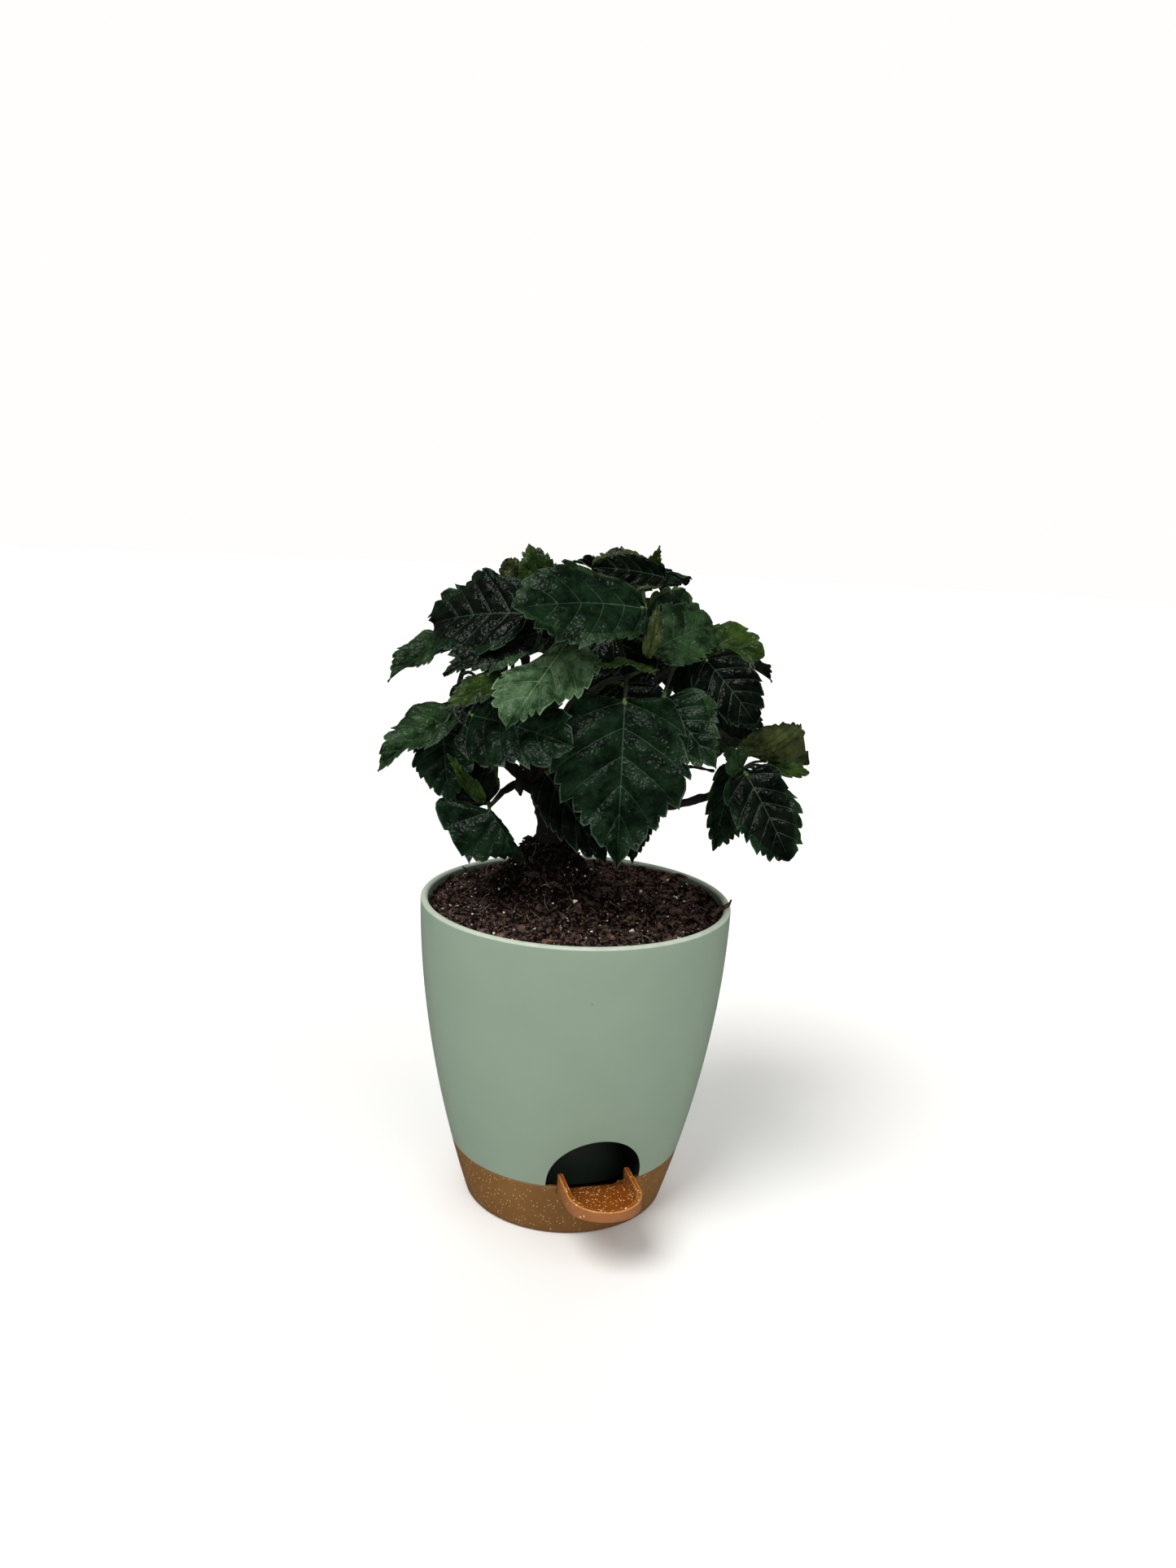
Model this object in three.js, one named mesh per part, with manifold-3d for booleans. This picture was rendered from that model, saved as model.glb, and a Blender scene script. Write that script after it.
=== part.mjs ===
// A small potted hibiscus in a two-part self-watering planter, as three.js solids.
// Millimetres, +Z up. The origin is the centre of the planter's flat underside, and the
// filling spout points along -Y. Every mesh is one closed solid with a plain name.
import * as THREE from "three";
import { mergeVertices } from "three/addons/utils/BufferGeometryUtils.js";
import Module from "manifold-3d";

const wasm = await Module();
wasm.setup();

// Driving dimensions of the planter
const rimRadius = 70;
const footRadius = 46;
const planterHeight = 141.6;
const flankPower = 1.87; // how fast the flank curves in towards the foot
const wall = 2.4;
const lipWidth = 3.2;
const trayHeight = 27;
const trayFloor = 2.6;
const footChamfer = 1.2;
const seat = 0.3; // clearance where two pieces meet
const collarDepth = 9; // the pot's collar that drops inside the tray
const potFloorTop = 30;
const turns = 40; // facets round the planter

// The arched recess through which the tray is filled, and its spout
const archHalfWidth = 21;
const archSpring = 30.3;
const recessBack = 36; // distance of the recess's back wall from the planter's axis
const liner = 1.8;
const spoutHalfWidth = 16;
const spoutReach = 84; // how far the lip stands from the planter's axis
const spoutWall = 2.4;
const spoutRim = 33;
const spoutFloorFront = 30.2;
const spoutFloorBack = 25.6;
const spoutFloorThickness = 1.8;
const spoutRoot = 50.3;

// Compost: its level at the wall, and the mound round the stem
const compostEdge = 136.5;
const moundHeight = 34;
const moundSpread = 18;
const moundCentre = new THREE.Vector2(-14, 4);
const stemSeat = 166; // height of the flat top of the mound, under the stem
const stemSeatRadius = 9.5;

// Plant, in its own frame: x to the right and -y towards the side that is seen first.
// That side is turned from the spout by this angle.
const plantTurn = THREE.MathUtils.degToRad(-15.4);
const crownHeart = new THREE.Vector3(0, 2, 212);
const seenSide = [0, -1, 0.45]; // where the upper side of most set leaves looks
const leafThickness = 1; // at the midrib, running out to a thin margin
const leafFold = 14; // degrees that each half of a blade stands up from the midrib
const petioleRadius = 1.05;
const toothPeaks = { large: [0.32, 0.57, 0.8], small: [0.36, 0.7] };
const largeLeaf = 42; // from this length up a leaf has more teeth
const toothStep = 0.04;
const toothDepth = 0.15;

// Finishes
const finish = (color, roughness) =>
  new THREE.MeshStandardMaterial({ color, roughness, metalness: 0 });
const sagePlastic = finish("#8fa38d", 0.45);
const bronzePlastic = finish("#7a5c36", 0.5);
const caramelPlastic = finish("#a8703a", 0.4);
const compostBrown = finish("#2a1c16", 0.95);
const barkBrown = finish("#3b2c22", 0.85);
const leafGreen = finish("#22371f", 0.4);

// Solids and meshes
function solidOf(geometry) {
  const bare = geometry.index ? geometry.toNonIndexed() : geometry.clone();
  bare.deleteAttribute("normal");
  bare.deleteAttribute("uv");
  const merged = mergeVertices(bare, 1e-4);
  return new wasm.Manifold(
    new wasm.Mesh({
      numProp: 3,
      vertProperties: new Float32Array(merged.attributes.position.array),
      triVerts: new Uint32Array(merged.index.array),
    }),
  );
}

function meshOf(name, solid, material) {
  const made = solid.getMesh();
  const geometry = new THREE.BufferGeometry();
  geometry.setAttribute("position", new THREE.BufferAttribute(made.vertProperties, 3));
  geometry.setIndex(new THREE.BufferAttribute(made.triVerts, 1));
  const mesh = new THREE.Mesh(geometry, material);
  mesh.name = name;
  return mesh;
}

// A body of revolution about Z from [radius, height] pairs that start and end on the axis
function revolve(profile) {
  const points = profile.map(([radius, height]) => new THREE.Vector2(radius, height));
  const lathe = new THREE.LatheGeometry(points, turns);
  lathe.rotateX(Math.PI / 2);
  return solidOf(lathe);
}

// Planter
const flankRadius = (z) =>
  rimRadius - (rimRadius - footRadius) * Math.pow(1 - z / planterHeight, flankPower);
const heights = (low, high, steps) =>
  Array.from({ length: steps + 1 }, (_, i) => low + ((high - low) * i) / steps);

function archPrism(halfWidth) {
  const [near, far] = [20, 90]; // distances from the planter's axis
  const arch = new THREE.Shape();
  arch.moveTo(-halfWidth, trayHeight - collarDepth - 2);
  arch.lineTo(halfWidth, trayHeight - collarDepth - 2);
  arch.lineTo(halfWidth, archSpring);
  arch.absarc(0, archSpring, halfWidth, 0, Math.PI, false);
  const prism = new THREE.ExtrudeGeometry(arch, {
    depth: far - near,
    bevelEnabled: false,
    curveSegments: 20,
  });
  prism.rotateX(Math.PI / 2);
  prism.translate(0, -near, 0);
  return solidOf(prism);
}

// The space of the recess: an arch that ends at an upright round back wall
function recessSpace(grow) {
  const back = revolve([
    [0, 0],
    [recessBack - grow, 0],
    [recessBack - grow, 80],
    [0, 80],
  ]);
  return archPrism(archHalfWidth + grow).subtract(back);
}

function potShell() {
  const bottom = trayHeight + seat;
  const collarOuter = flankRadius(trayHeight) - wall - seat;
  const outer = heights(bottom, planterHeight - 1.6, 6).map((z) => [flankRadius(z), z]);
  const inner = heights(planterHeight - 4, potFloorTop, 4).map((z) => [flankRadius(z) - wall, z]);
  const shell = revolve([
    [0, bottom],
    [collarOuter - wall, bottom],
    [flankRadius(trayHeight - collarDepth) - 2 * wall - seat, trayHeight - collarDepth],
    [flankRadius(trayHeight - collarDepth) - wall - seat, trayHeight - collarDepth],
    [collarOuter, bottom],
    ...outer,
    [rimRadius - 0.7, planterHeight - 0.4],
    [rimRadius - 1.6, planterHeight],
    [rimRadius - lipWidth + 0.7, planterHeight - 0.3],
    [rimRadius - lipWidth, planterHeight - 1.5],
    ...inner,
    [0, potFloorTop],
  ]);
  const envelope = revolve([[0, bottom], ...outer, [0, planterHeight - 1.6]]);
  return shell.add(recessSpace(liner).intersect(envelope)).subtract(recessSpace(0));
}

function waterTray() {
  const outer = heights(footChamfer, trayHeight, 3).map((z) => [flankRadius(z), z]);
  const inner = heights(trayHeight, trayFloor, 2).map((z) => [flankRadius(z) - wall, z]);
  const bowl = revolve([[0, 0], [footRadius - footChamfer, 0], ...outer, ...inner, [0, trayFloor]]);
  return bowl.subtract(spoutBody(seat));
}

// The spout: a U-shaped scoop whose floor falls back towards the tray
function scoopOutline(halfWidth, back, front) {
  const outline = new THREE.Shape();
  outline.moveTo(-halfWidth, back);
  outline.lineTo(halfWidth, back);
  outline.lineTo(halfWidth, front - halfWidth);
  outline.absarc(0, front - halfWidth, halfWidth, 0, Math.PI, false);
  return outline;
}

function scoopBlock(halfWidth, back, front, low, high) {
  const outline = scoopOutline(halfWidth, back, front);
  const block = new THREE.ExtrudeGeometry(outline, {
    depth: high - low,
    bevelEnabled: false,
    curveSegments: 18,
  });
  block.translate(0, 0, low);
  block.rotateZ(Math.PI); // the outline's length runs along -Y
  return solidOf(block);
}

// A deep slab whose top falls from the spout's lip to its root, drop below the floor line
function slopedSlab(drop) {
  const fall = (spoutFloorFront - spoutFloorBack) / (spoutReach - spoutRoot);
  const topAt = (reach) => spoutFloorBack + fall * (reach - spoutRoot) - drop;
  const [near, far] = [spoutRoot - 12, spoutReach + 6];
  const side = new THREE.Shape();
  side.moveTo(near, topAt(near) - 60);
  side.lineTo(far, topAt(far) - 60);
  side.lineTo(far, topAt(far));
  side.lineTo(near, topAt(near));
  const slab = new THREE.ExtrudeGeometry(side, { depth: 80, bevelEnabled: false });
  slab.translate(0, 0, -40);
  const axes = new THREE.Matrix4().makeBasis(
    new THREE.Vector3(0, -1, 0),
    new THREE.Vector3(0, 0, 1),
    new THREE.Vector3(-1, 0, 0),
  );
  slab.applyMatrix4(axes);
  return solidOf(slab);
}

function spoutBody(grow) {
  const [back, front] = [spoutRoot - grow, spoutReach + grow];
  const block = scoopBlock(spoutHalfWidth + grow, back, front, 15, spoutRim + grow);
  return block.subtract(slopedSlab(spoutFloorThickness + grow));
}

function fillSpout() {
  const [back, front] = [spoutRoot - 6, spoutReach - spoutWall];
  const channel = scoopBlock(spoutHalfWidth - spoutWall, back, front, 15, spoutRim + 9);
  return spoutBody(0).subtract(channel.subtract(slopedSlab(0)));
}

// Compost: a filled round with a mound round the stem, flat where the stem stands
function compostLevel(x, y) {
  const away = Math.hypot(x - moundCentre.x, y - moundCentre.y);
  const mound = moundHeight * Math.exp(-Math.pow(away / moundSpread, 2) / 1.6);
  const lumps = away > stemSeatRadius ? 0.9 * Math.sin(x * 0.31 + 1.1) * Math.cos(y * 0.27 - 0.4) : 0;
  return Math.min(compostEdge + mound + lumps, stemSeat);
}

function compost() {
  const sides = 28;
  const rings = 7;
  const bottom = potFloorTop + seat;
  const wallRadius = (z) => flankRadius(z) - wall - 2 * seat;
  const around = (radius, z) => Array.from({ length: sides }, (_, i) => ringPoint(radius, i, sides, z));
  const rows = heights(bottom, compostEdge - 2, 3).map((z) => around(wallRadius(z), z));
  const middle = new THREE.Vector3(moundCentre.x, moundCentre.y, 0);
  for (let k = rings; k >= 1; k--) {
    const share = Math.pow(k / rings, 1.25);
    const row = around(wallRadius(compostEdge - 2) - 0.2, 0).map((p) => p.lerp(middle, 1 - share));
    rows.push(row.map((p) => p.setZ(compostLevel(p.x, p.y))));
  }
  const heap = closedRows(rows, new THREE.Vector3(0, 0, bottom), middle.clone().setZ(stemSeat));
  heap.rotateZ(plantTurn);
  return solidOf(heap).subtract(recessSpace(liner + seat));
}

function ringPoint(radius, index, sides, z) {
  const angle = (2 * Math.PI * index) / sides;
  return new THREE.Vector3(radius * Math.cos(angle), radius * Math.sin(angle), z);
}

// Skins rows of equally many points, each row closed, between two end points
function closedRows(rows, first, last) {
  const sides = rows[0].length;
  const points = [first, ...rows.flat(), last];
  const faces = [];
  for (let i = 0; i < sides; i++) {
    const next = (i + 1) % sides;
    faces.push([0, 1 + next, 1 + i]);
    for (let r = 0; r + 1 < rows.length; r++) {
      const low = 1 + r * sides;
      const high = low + sides;
      faces.push([low + i, low + next, high + next], [low + i, high + next, high + i]);
    }
    const end = 1 + (rows.length - 1) * sides;
    faces.push([points.length - 1, end + i, end + next]);
  }
  const geometry = new THREE.BufferGeometry().setFromPoints(points);
  geometry.setIndex(faces.flat());
  return geometry;
}

// Limbs: a round tapering tube along a smooth line through a few points. With a clearance
// it is that much thicker, and longer past its tip.
function limb(points, { root, tip, sides = 6, steps = 6, flare = 0 }, clear = 0) {
  const knots = points.map((p) => new THREE.Vector3(...p));
  const line = new THREE.CatmullRomCurve3(knots, false, "centripetal");
  const rows = [];
  let across = null;
  for (let k = 0; k <= steps; k++) {
    const t = k / steps;
    const centre = line.getPointAt(t);
    const along = line.getTangentAt(t);
    if (k === steps) centre.addScaledVector(along, clear);
    if (flare > 0 && k === 0) along.set(0, 0, 1); // the flat cut at ground level
    if (!across) across = new THREE.Vector3(1, 0, 0).addScaledVector(along, -along.x);
    across.addScaledVector(along, -across.dot(along)).normalize();
    const over = new THREE.Vector3().crossVectors(along, across);
    const radius = THREE.MathUtils.lerp(root, tip, t) + flare * Math.exp(-t * 7) + clear;
    rows.push(
      Array.from({ length: sides }, (_, i) => {
        const angle = (2 * Math.PI * i) / sides;
        return centre
          .clone()
          .addScaledVector(across, radius * Math.cos(angle))
          .addScaledVector(over, radius * Math.sin(angle));
      }),
    );
  }
  const ends = [0, 1].map((t) => line.getPointAt(t));
  ends[1].addScaledVector(line.getTangentAt(1), clear);
  return { solid: solidOf(closedRows(rows, ...ends)), line };
}

// Leaves: a toothed blade, folded a little along its midrib and arched along its length.
// It lies from its foot to its tip, and its upper side looks out of the crown.
function bladeOutline(t, taper) {
  const widest = 0.5 / (0.5 + taper);
  return (Math.sqrt(t) * Math.pow(1 - t, taper)) / (Math.sqrt(widest) * Math.pow(1 - widest, taper));
}

function bladeStations(length, width, taper) {
  const stations = [
    [0, 0.12],
    [0.12, bladeOutline(0.12, taper)],
  ];
  for (const peak of length < largeLeaf ? toothPeaks.small : toothPeaks.large) {
    stations.push([peak, bladeOutline(peak, taper) * (1 + toothDepth / 3)]);
    stations.push([peak + toothStep, bladeOutline(peak + toothStep, taper) * (1 - toothDepth / 2)]);
  }
  stations.push([1, 0.035]);
  return stations.map(([t, share]) => [t, (share * width) / 2]);
}

function bladeFrame(leaf) {
  const foot = new THREE.Vector3(...leaf.from);
  const along = new THREE.Vector3(...leaf.to).sub(foot);
  const length = along.length();
  along.normalize();
  const up = new THREE.Vector3(...(leaf.looks ?? seenSide));
  up.addScaledVector(along, -up.dot(along)).normalize();
  return { foot, along, length, up, side: new THREE.Vector3().crossVectors(along, up) };
}

// How far the arched blade stands off the straight line from its foot to its tip
const bladeLift = (leaf, length, t) => length * (leaf.arch ?? 0.07) * 4 * t * (1 - t);

function blade(leaf) {
  const { foot, along, length, up, side } = bladeFrame(leaf);
  const fold = Math.tan(THREE.MathUtils.degToRad(leafFold));
  const points = [];
  const stations = bladeStations(length, length * (leaf.wide ?? 0.8), leaf.taper ?? 1.15);
  for (const [t, half] of stations) {
    const middle = foot
      .clone()
      .addScaledVector(along, length * t)
      .addScaledVector(up, bladeLift(leaf, length, t));
    const halfThick = leafThickness / 2;
    points.push(
      middle.clone().addScaledVector(side, -half).addScaledVector(up, half * fold),
      middle.clone().addScaledVector(up, halfThick),
      middle.clone().addScaledVector(side, half).addScaledVector(up, half * fold),
      middle.clone().addScaledVector(up, -halfThick),
    );
  }
  const faces = [[0, 2, 1], [0, 3, 2]];
  for (let k = 0; k + 1 < stations.length; k++) {
    for (let i = 0; i < 4; i++) {
      const next = (i + 1) % 4;
      const [a, b] = [4 * k + i, 4 * k + next];
      faces.push([a, b, b + 4], [a, b + 4, a + 4]);
    }
  }
  const end = 4 * (stations.length - 1);
  faces.push([end, end + 1, end + 2], [end, end + 2, end + 3]);
  const geometry = new THREE.BufferGeometry().setFromPoints(points);
  geometry.setIndex(faces.flat());
  return solidOf(geometry);
}

// A leaf's stalk: from the middle of its stem to a little way in under the blade
function petiole(leaf, line) {
  const { foot, along, length, up } = bladeFrame(leaf);
  const node = nearestOn(line, foot);
  const rise = foot.clone().add(node).multiplyScalar(0.5);
  rise.z += 0.12 * foot.distanceTo(node);
  const sunk = foot
    .clone()
    .addScaledVector(along, length * 0.12)
    .addScaledVector(up, bladeLift(leaf, length, 0.12));
  const through = [node, rise, sunk].map((p) => p.toArray());
  return limb(through, { root: petioleRadius, tip: petioleRadius * 0.7, sides: 3, steps: 2 }).solid;
}

function nearestOn(line, point) {
  const tries = heights(0.12, 0.97, 24).map((t) => line.getPointAt(t));
  return tries.reduce((best, next) => (next.distanceTo(point) < best.distanceTo(point) ? next : best));
}

// A repeatable stream of numbers from 0 to 1
function seeded(seed) {
  let state = seed >>> 0;
  return () => {
    state = (Math.imul(state, 1664525) + 1013904223) >>> 0;
    return state / 4294967296;
  };
}

// Leaves that follow the plant's own habit: a fan of leaves that turns by the golden angle
// round the stem, kept to the side that the shoot faces, each drooping outwards
function habitLeaves({ count, facing, fan, leafLength, seed, droop = 35 }, line) {
  const draw = seeded(seed);
  const leaves = [];
  for (let i = 0; i < count; i++) {
    const t = 0.25 + (0.73 * i) / Math.max(1, count - 1);
    const swing = ((i * 0.618034) % 1) * 2 - 1;
    const bearing = THREE.MathUtils.degToRad(facing + swing * fan + (draw() - 0.5) * 16);
    const out = new THREE.Vector3(Math.cos(bearing), Math.sin(bearing), 0);
    const stalk = leafLength * (0.28 + 0.14 * draw());
    const foot = line.getPointAt(t).addScaledVector(out, stalk);
    foot.z += stalk * (0.35 + 0.3 * draw());
    const fall = THREE.MathUtils.degToRad(droop * (0.6 + 0.8 * draw()) - 25 * t);
    const size = leafLength * (0.82 + 0.3 * draw());
    const tip = foot.clone().addScaledVector(out, size * Math.cos(fall));
    tip.z -= size * Math.sin(fall);
    const looks = foot.clone().add(tip).multiplyScalar(0.5).sub(crownHeart).normalize();
    looks.z += 0.35;
    leaves.push({
      from: foot.toArray(),
      to: tip.toArray(),
      wide: 0.76 + 0.12 * draw(),
      looks: looks.toArray(),
    });
  }
  return leaves;
}

// The stem and its boughs: root point, bends and tip, with the radius at each end
const stem = {
  through: [[moundCentre.x, moundCentre.y, stemSeat + seat], [-14, 4, 174], [-17, 4, 184], [-21, 3, 195]],
  root: 5.4,
  tip: 4.2,
  flare: 3,
};
const boughs = {
  bough_leader: {
    through: [[-22, 3, 192], [-13, 5, 214], [1, 4, 238], [13, 1, 258]],
    root: 3.4,
    tip: 2.2,
  },
  bough_left_top: {
    through: [[-22, 2, 192], [-23, -3, 214], [-25, -8, 238], [-28, -8, 256]],
    root: 2.8,
    tip: 1.9,
  },
  bough_left: {
    through: [[-21, 3, 190], [-36, 1, 203], [-48, -2, 214], [-54, -4, 224]],
    root: 2.8,
    tip: 1.8,
  },
  bough_low_left: {
    through: [[-21, 3, 188], [-28, -5, 193], [-34, -14, 191]],
    root: 2,
    tip: 1.5,
  },
  bough_front: {
    through: [[-20, 3, 190], [-14, -11, 206], [-5, -20, 224], [3, -25, 238]],
    root: 2.8,
    tip: 1.9,
  },
  bough_low_front: {
    through: [[-17, 3, 184], [-8, -7, 191], [-1, -13, 198]],
    root: 2.2,
    tip: 1.6,
  },
  bough_right_top: {
    through: [[-19, 3, 186], [0, 10, 208], [22, 6, 232], [36, -2, 246]],
    root: 2.8,
    tip: 1.9,
  },
  bough_right: {
    through: [[-18, 3, 183], [10, -3, 193], [38, -8, 206], [58, -6, 219]],
    root: 2.3,
    tip: 1.5,
  },
  bough_low_right: {
    through: [[-14, 4, 176], [12, -8, 184], [38, -13, 188], [58, -12, 194]],
    root: 2.3,
    tip: 1.7,
  },
  bough_back_left: {
    through: [[-20, 4, 187], [-29, 18, 206], [-36, 30, 224]],
    root: 2.6,
    tip: 1.8,
  },
  bough_back: {
    through: [[-18, 5, 185], [-8, 26, 208], [0, 38, 234]],
    root: 2.8,
    tip: 1.9,
  },
  bough_back_right: {
    through: [[-16, 5, 181], [12, 22, 200], [34, 32, 222]],
    root: 2.6,
    tip: 1.8,
  },
  bough_back_low: {
    through: [[-13, 6, 178], [-4, 22, 186], [2, 34, 196]],
    root: 2.2,
    tip: 1.6,
  },
};

// Each mass of foliage grows on from a bough's tip. Its stem is given by its bends. The
// leaves that show are set by where the blade's foot and tip stand, and the rest by habit.
const foliage = {
  foliage_crown: {
    bough: "bough_leader",
    bends: [[19, -2, 270], [22, -4, 281]],
    leaves: [
      { from: [22, -32, 274], to: [-28, -58, 274], wide: 0.8, taper: 0.8, looks: [0, -0.8, 0.6] },
      { from: [30, -12, 284], to: [7, -28, 294], wide: 0.7, looks: [0, -0.8, 0.6] },
      { from: [21, -6, 280], to: [-7, -16, 292], wide: 0.45 },
      { from: [23, -8, 281], to: [38, -22, 285], wide: 0.5 },
      { from: [21, 4, 283], to: [3, 20, 295], wide: 0.9 },
      { from: [24, 3, 283], to: [29, 10, 299], wide: 0.5 },
      { from: [22, 12, 266], to: [27, 16, 236], wide: 0.9, looks: [0, 1, 0.4] },
      { from: [6, 12, 264], to: [-8, 17, 238], wide: 0.9, looks: [0, 1, 0.4] },
    ],
    habit: { count: 3, facing: 115, fan: 60, leafLength: 34, seed: 21, droop: 50 },
  },
  foliage_left_top: {
    bough: "bough_left_top",
    bends: [[-29, -6, 268], [-27, -5, 279]],
    leaves: [
      { from: [-21, -10, 281], to: [-27, -8, 296], wide: 0.85 },
      { from: [-31, 6, 282], to: [-41, 12, 290], wide: 0.8 },
      { from: [-24, -34, 271], to: [-66, -4, 264], wide: 0.8, taper: 0.7, looks: [-0.3, -1, 0.6] },
      { from: [-20, -26, 262], to: [-58, -36, 243], wide: 0.6, looks: [0, -0.6, 0.8] },
      { from: [-5, -42, 258], to: [-29, -68, 229], wide: 0.82, taper: 0.9 },
      { from: [-32, -38, 243], to: [-52, -55, 234], wide: 0.45, looks: [0, -0.6, 0.8] },
    ],
  },
  foliage_left: {
    bough: "bough_left",
    bends: [[-55, -4, 236], [-52, -2, 247]],
    leaves: [
      { from: [-61, 0, 256], to: [-84, -10, 239], wide: 0.55, looks: [-0.2, -0.6, 0.8] },
      { from: [-53, -12, 226], to: [-86, -20, 199], wide: 0.6, looks: [-0.2, -0.7, 0.7] },
      { from: [-63, 10, 214], to: [-76, 4, 205], wide: 0.8 },
      { from: [-59, -18, 217], to: [-55, -22, 189], wide: 0.88 },
      { from: [-47, -27, 226], to: [-3, -61, 221], wide: 0.7, taper: 0.9 },
      { from: [-46, -16, 240], to: [-40, -26, 214], wide: 0.9 },
      { from: [-60, 6, 222], to: [-72, 26, 204], wide: 0.85, looks: [-0.7, 0.4, 0.7] },
      { from: [-50, 8, 253], to: [-46, 40, 246], wide: 0.8, looks: [-0.2, 0.6, 0.8] },
      { from: [-56, 8, 226], to: [-60, 32, 202], wide: 0.8, looks: [-0.4, 1, 0.5] },
    ],
  },
  foliage_low_left: {
    bough: "bough_low_left",
    bends: [[-37, -20, 188], [-39, -23, 186]],
    leaves: [
      { from: [-40, -25, 185], to: [-54, -36, 167], wide: 1, taper: 0.5 },
      { from: [-38, -24, 184], to: [-20, -30, 163], wide: 0.55 },
      { from: [-40, -20, 188], to: [-50, -2, 212], wide: 0.6 },
      { from: [-37, -20, 190], to: [-32, -24, 203], wide: 0.7 },
    ],
  },
  foliage_front: {
    bough: "bough_front",
    bends: [[10, -30, 244], [17, -34, 246]],
    leaves: [
      { from: [16, -44, 238], to: [16, -58, 172], wide: 0.8, arch: 0.04, looks: [0, -1, 0.2] },
      { from: [28, -36, 249], to: [3, -54, 252], wide: 0.3, looks: [0, -0.3, 1] },
      { from: [16, -12, 240], to: [28, -20, 208], wide: 0.85 },
    ],
  },
  foliage_low_front: {
    bough: "bough_low_front",
    bends: [[4, -17, 205], [8, -18, 213]],
    leaves: [
      { from: [-15, -22, 202], to: [12, -40, 168], wide: 0.75 },
      { from: [29, -24, 205], to: [23, -36, 168], wide: 0.8 },
    ],
  },
  foliage_right_top: {
    bough: "bough_right_top",
    bends: [[42, -8, 254], [46, -10, 260]],
    leaves: [
      { from: [25, -38, 257], to: [53, -13, 269], wide: 0.74, taper: 0.8 },
      { from: [23, -30, 256], to: [27, -16, 279], wide: 0.4, looks: [1, -0.5, 0] },
      { from: [28, -10, 262], to: [42, 4, 280], wide: 0.6 },
      { from: [49, -18, 258], to: [74, -20, 258], wide: 0.7, looks: [0.2, -0.8, 0.6] },
      { from: [49, -26, 254], to: [71, -32, 229], wide: 0.78, taper: 0.9 },
      { from: [52, 2, 255], to: [78, -4, 251], wide: 0.6 },
      { from: [32, -34, 237], to: [54, -50, 213], wide: 0.8 },
      { from: [10, -9, 262], to: [-10, -11, 240], wide: 0.9 },
    ],
    habit: { count: 3, facing: 80, fan: 40, leafLength: 36, seed: 9, droop: 40 },
  },
  foliage_right: {
    bough: "bough_right",
    bends: [[65, -3, 226], [68, -1, 232]],
    leaves: [
      { from: [64, 0, 231], to: [79, 2, 222], wide: 0.7 },
      { from: [60, -4, 232], to: [78, 4, 216], wide: 0.85 },
      { from: [63, 6, 236], to: [70, 34, 218], wide: 0.75, looks: [0.4, 0.6, 0.7] },
      { from: [58, 8, 228], to: [62, 34, 200], wide: 0.85, looks: [0.2, 1, 0.5] },
    ],
  },
  foliage_low_right: {
    bough: "bough_low_right",
    bends: [[64, -15, 199], [67, -17, 206]],
    leaves: [
      { from: [71, -6, 214], to: [97, -22, 208], wide: 1, arch: 0.2, taper: 0.7, looks: [0.1, -0.7, 0.7] },
      { from: [69, -27, 207], to: [90, -36, 171], wide: 0.78, taper: 0.9 },
      { from: [63, -14, 204], to: [57, -18, 170], wide: 0.55 },
      { from: [67, -24, 208], to: [58, -32, 219], wide: 0.7 },
      { from: [78, -2, 204], to: [94, 8, 184], wide: 0.78, looks: [1, 0.2, 0.6] },
    ],
  },
  foliage_back_left: {
    bough: "bough_back_left",
    bends: [[-38, 32, 242], [-34, 28, 258]],
    leaves: [],
    habit: { count: 7, facing: 98, fan: 48, leafLength: 42, seed: 71, droop: 48 },
  },
  foliage_back: {
    bough: "bough_back",
    bends: [[2, 40, 250], [6, 34, 268]],
    leaves: [],
    habit: { count: 8, facing: 88, fan: 64, leafLength: 47, seed: 82, droop: 40 },
  },
  foliage_back_right: {
    bough: "bough_back_right",
    bends: [[40, 34, 238], [38, 30, 254]],
    leaves: [],
    habit: { count: 8, facing: 66, fan: 54, leafLength: 42, seed: 64, droop: 46 },
  },
  foliage_back_low: {
    bough: "bough_back_low",
    bends: [[4, 38, 202], [5, 39, 209]],
    leaves: [],
    habit: { count: 6, facing: 90, fan: 75, leafLength: 38, seed: 12, droop: 70 },
  },
};

const largestPiece = (solid) =>
  solid.decompose().reduce((most, next) => (next.volume() > most.volume() ? next : most));

// Grows one mass of foliage from its bough's tip. A leaf that would touch a limb or another
// mass is skipped, and so is a leaf set by habit that would cut through its neighbour.
function growFoliage(mass, boughLine, standing) {
  const start = boughLine.getPointAt(1).addScaledVector(boughLine.getTangentAt(1), seat / 2);
  const root = boughs[mass.bough].tip * 0.95;
  const shoot = limb([start.toArray(), ...mass.bends], { root, tip: 1, steps: 4 });
  const blades = [];
  let grown = shoot.solid.subtract(standing);
  const addLeaf = (leaf, mustBeClear) => {
    const flat = blade(leaf);
    const made = flat.add(petiole(leaf, shoot.line));
    if (made.minGap(standing, seat) < seat) return;
    if (mustBeClear && blades.some((other) => other.intersect(made).volume() > 0)) return;
    blades.push(flat);
    grown = grown.add(made);
  };
  mass.leaves.forEach((leaf) => addLeaf(leaf, false));
  if (mass.habit) habitLeaves(mass.habit, shoot.line).forEach((leaf) => addLeaf(leaf, true));
  return largestPiece(grown.simplify(0.08));
}

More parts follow.
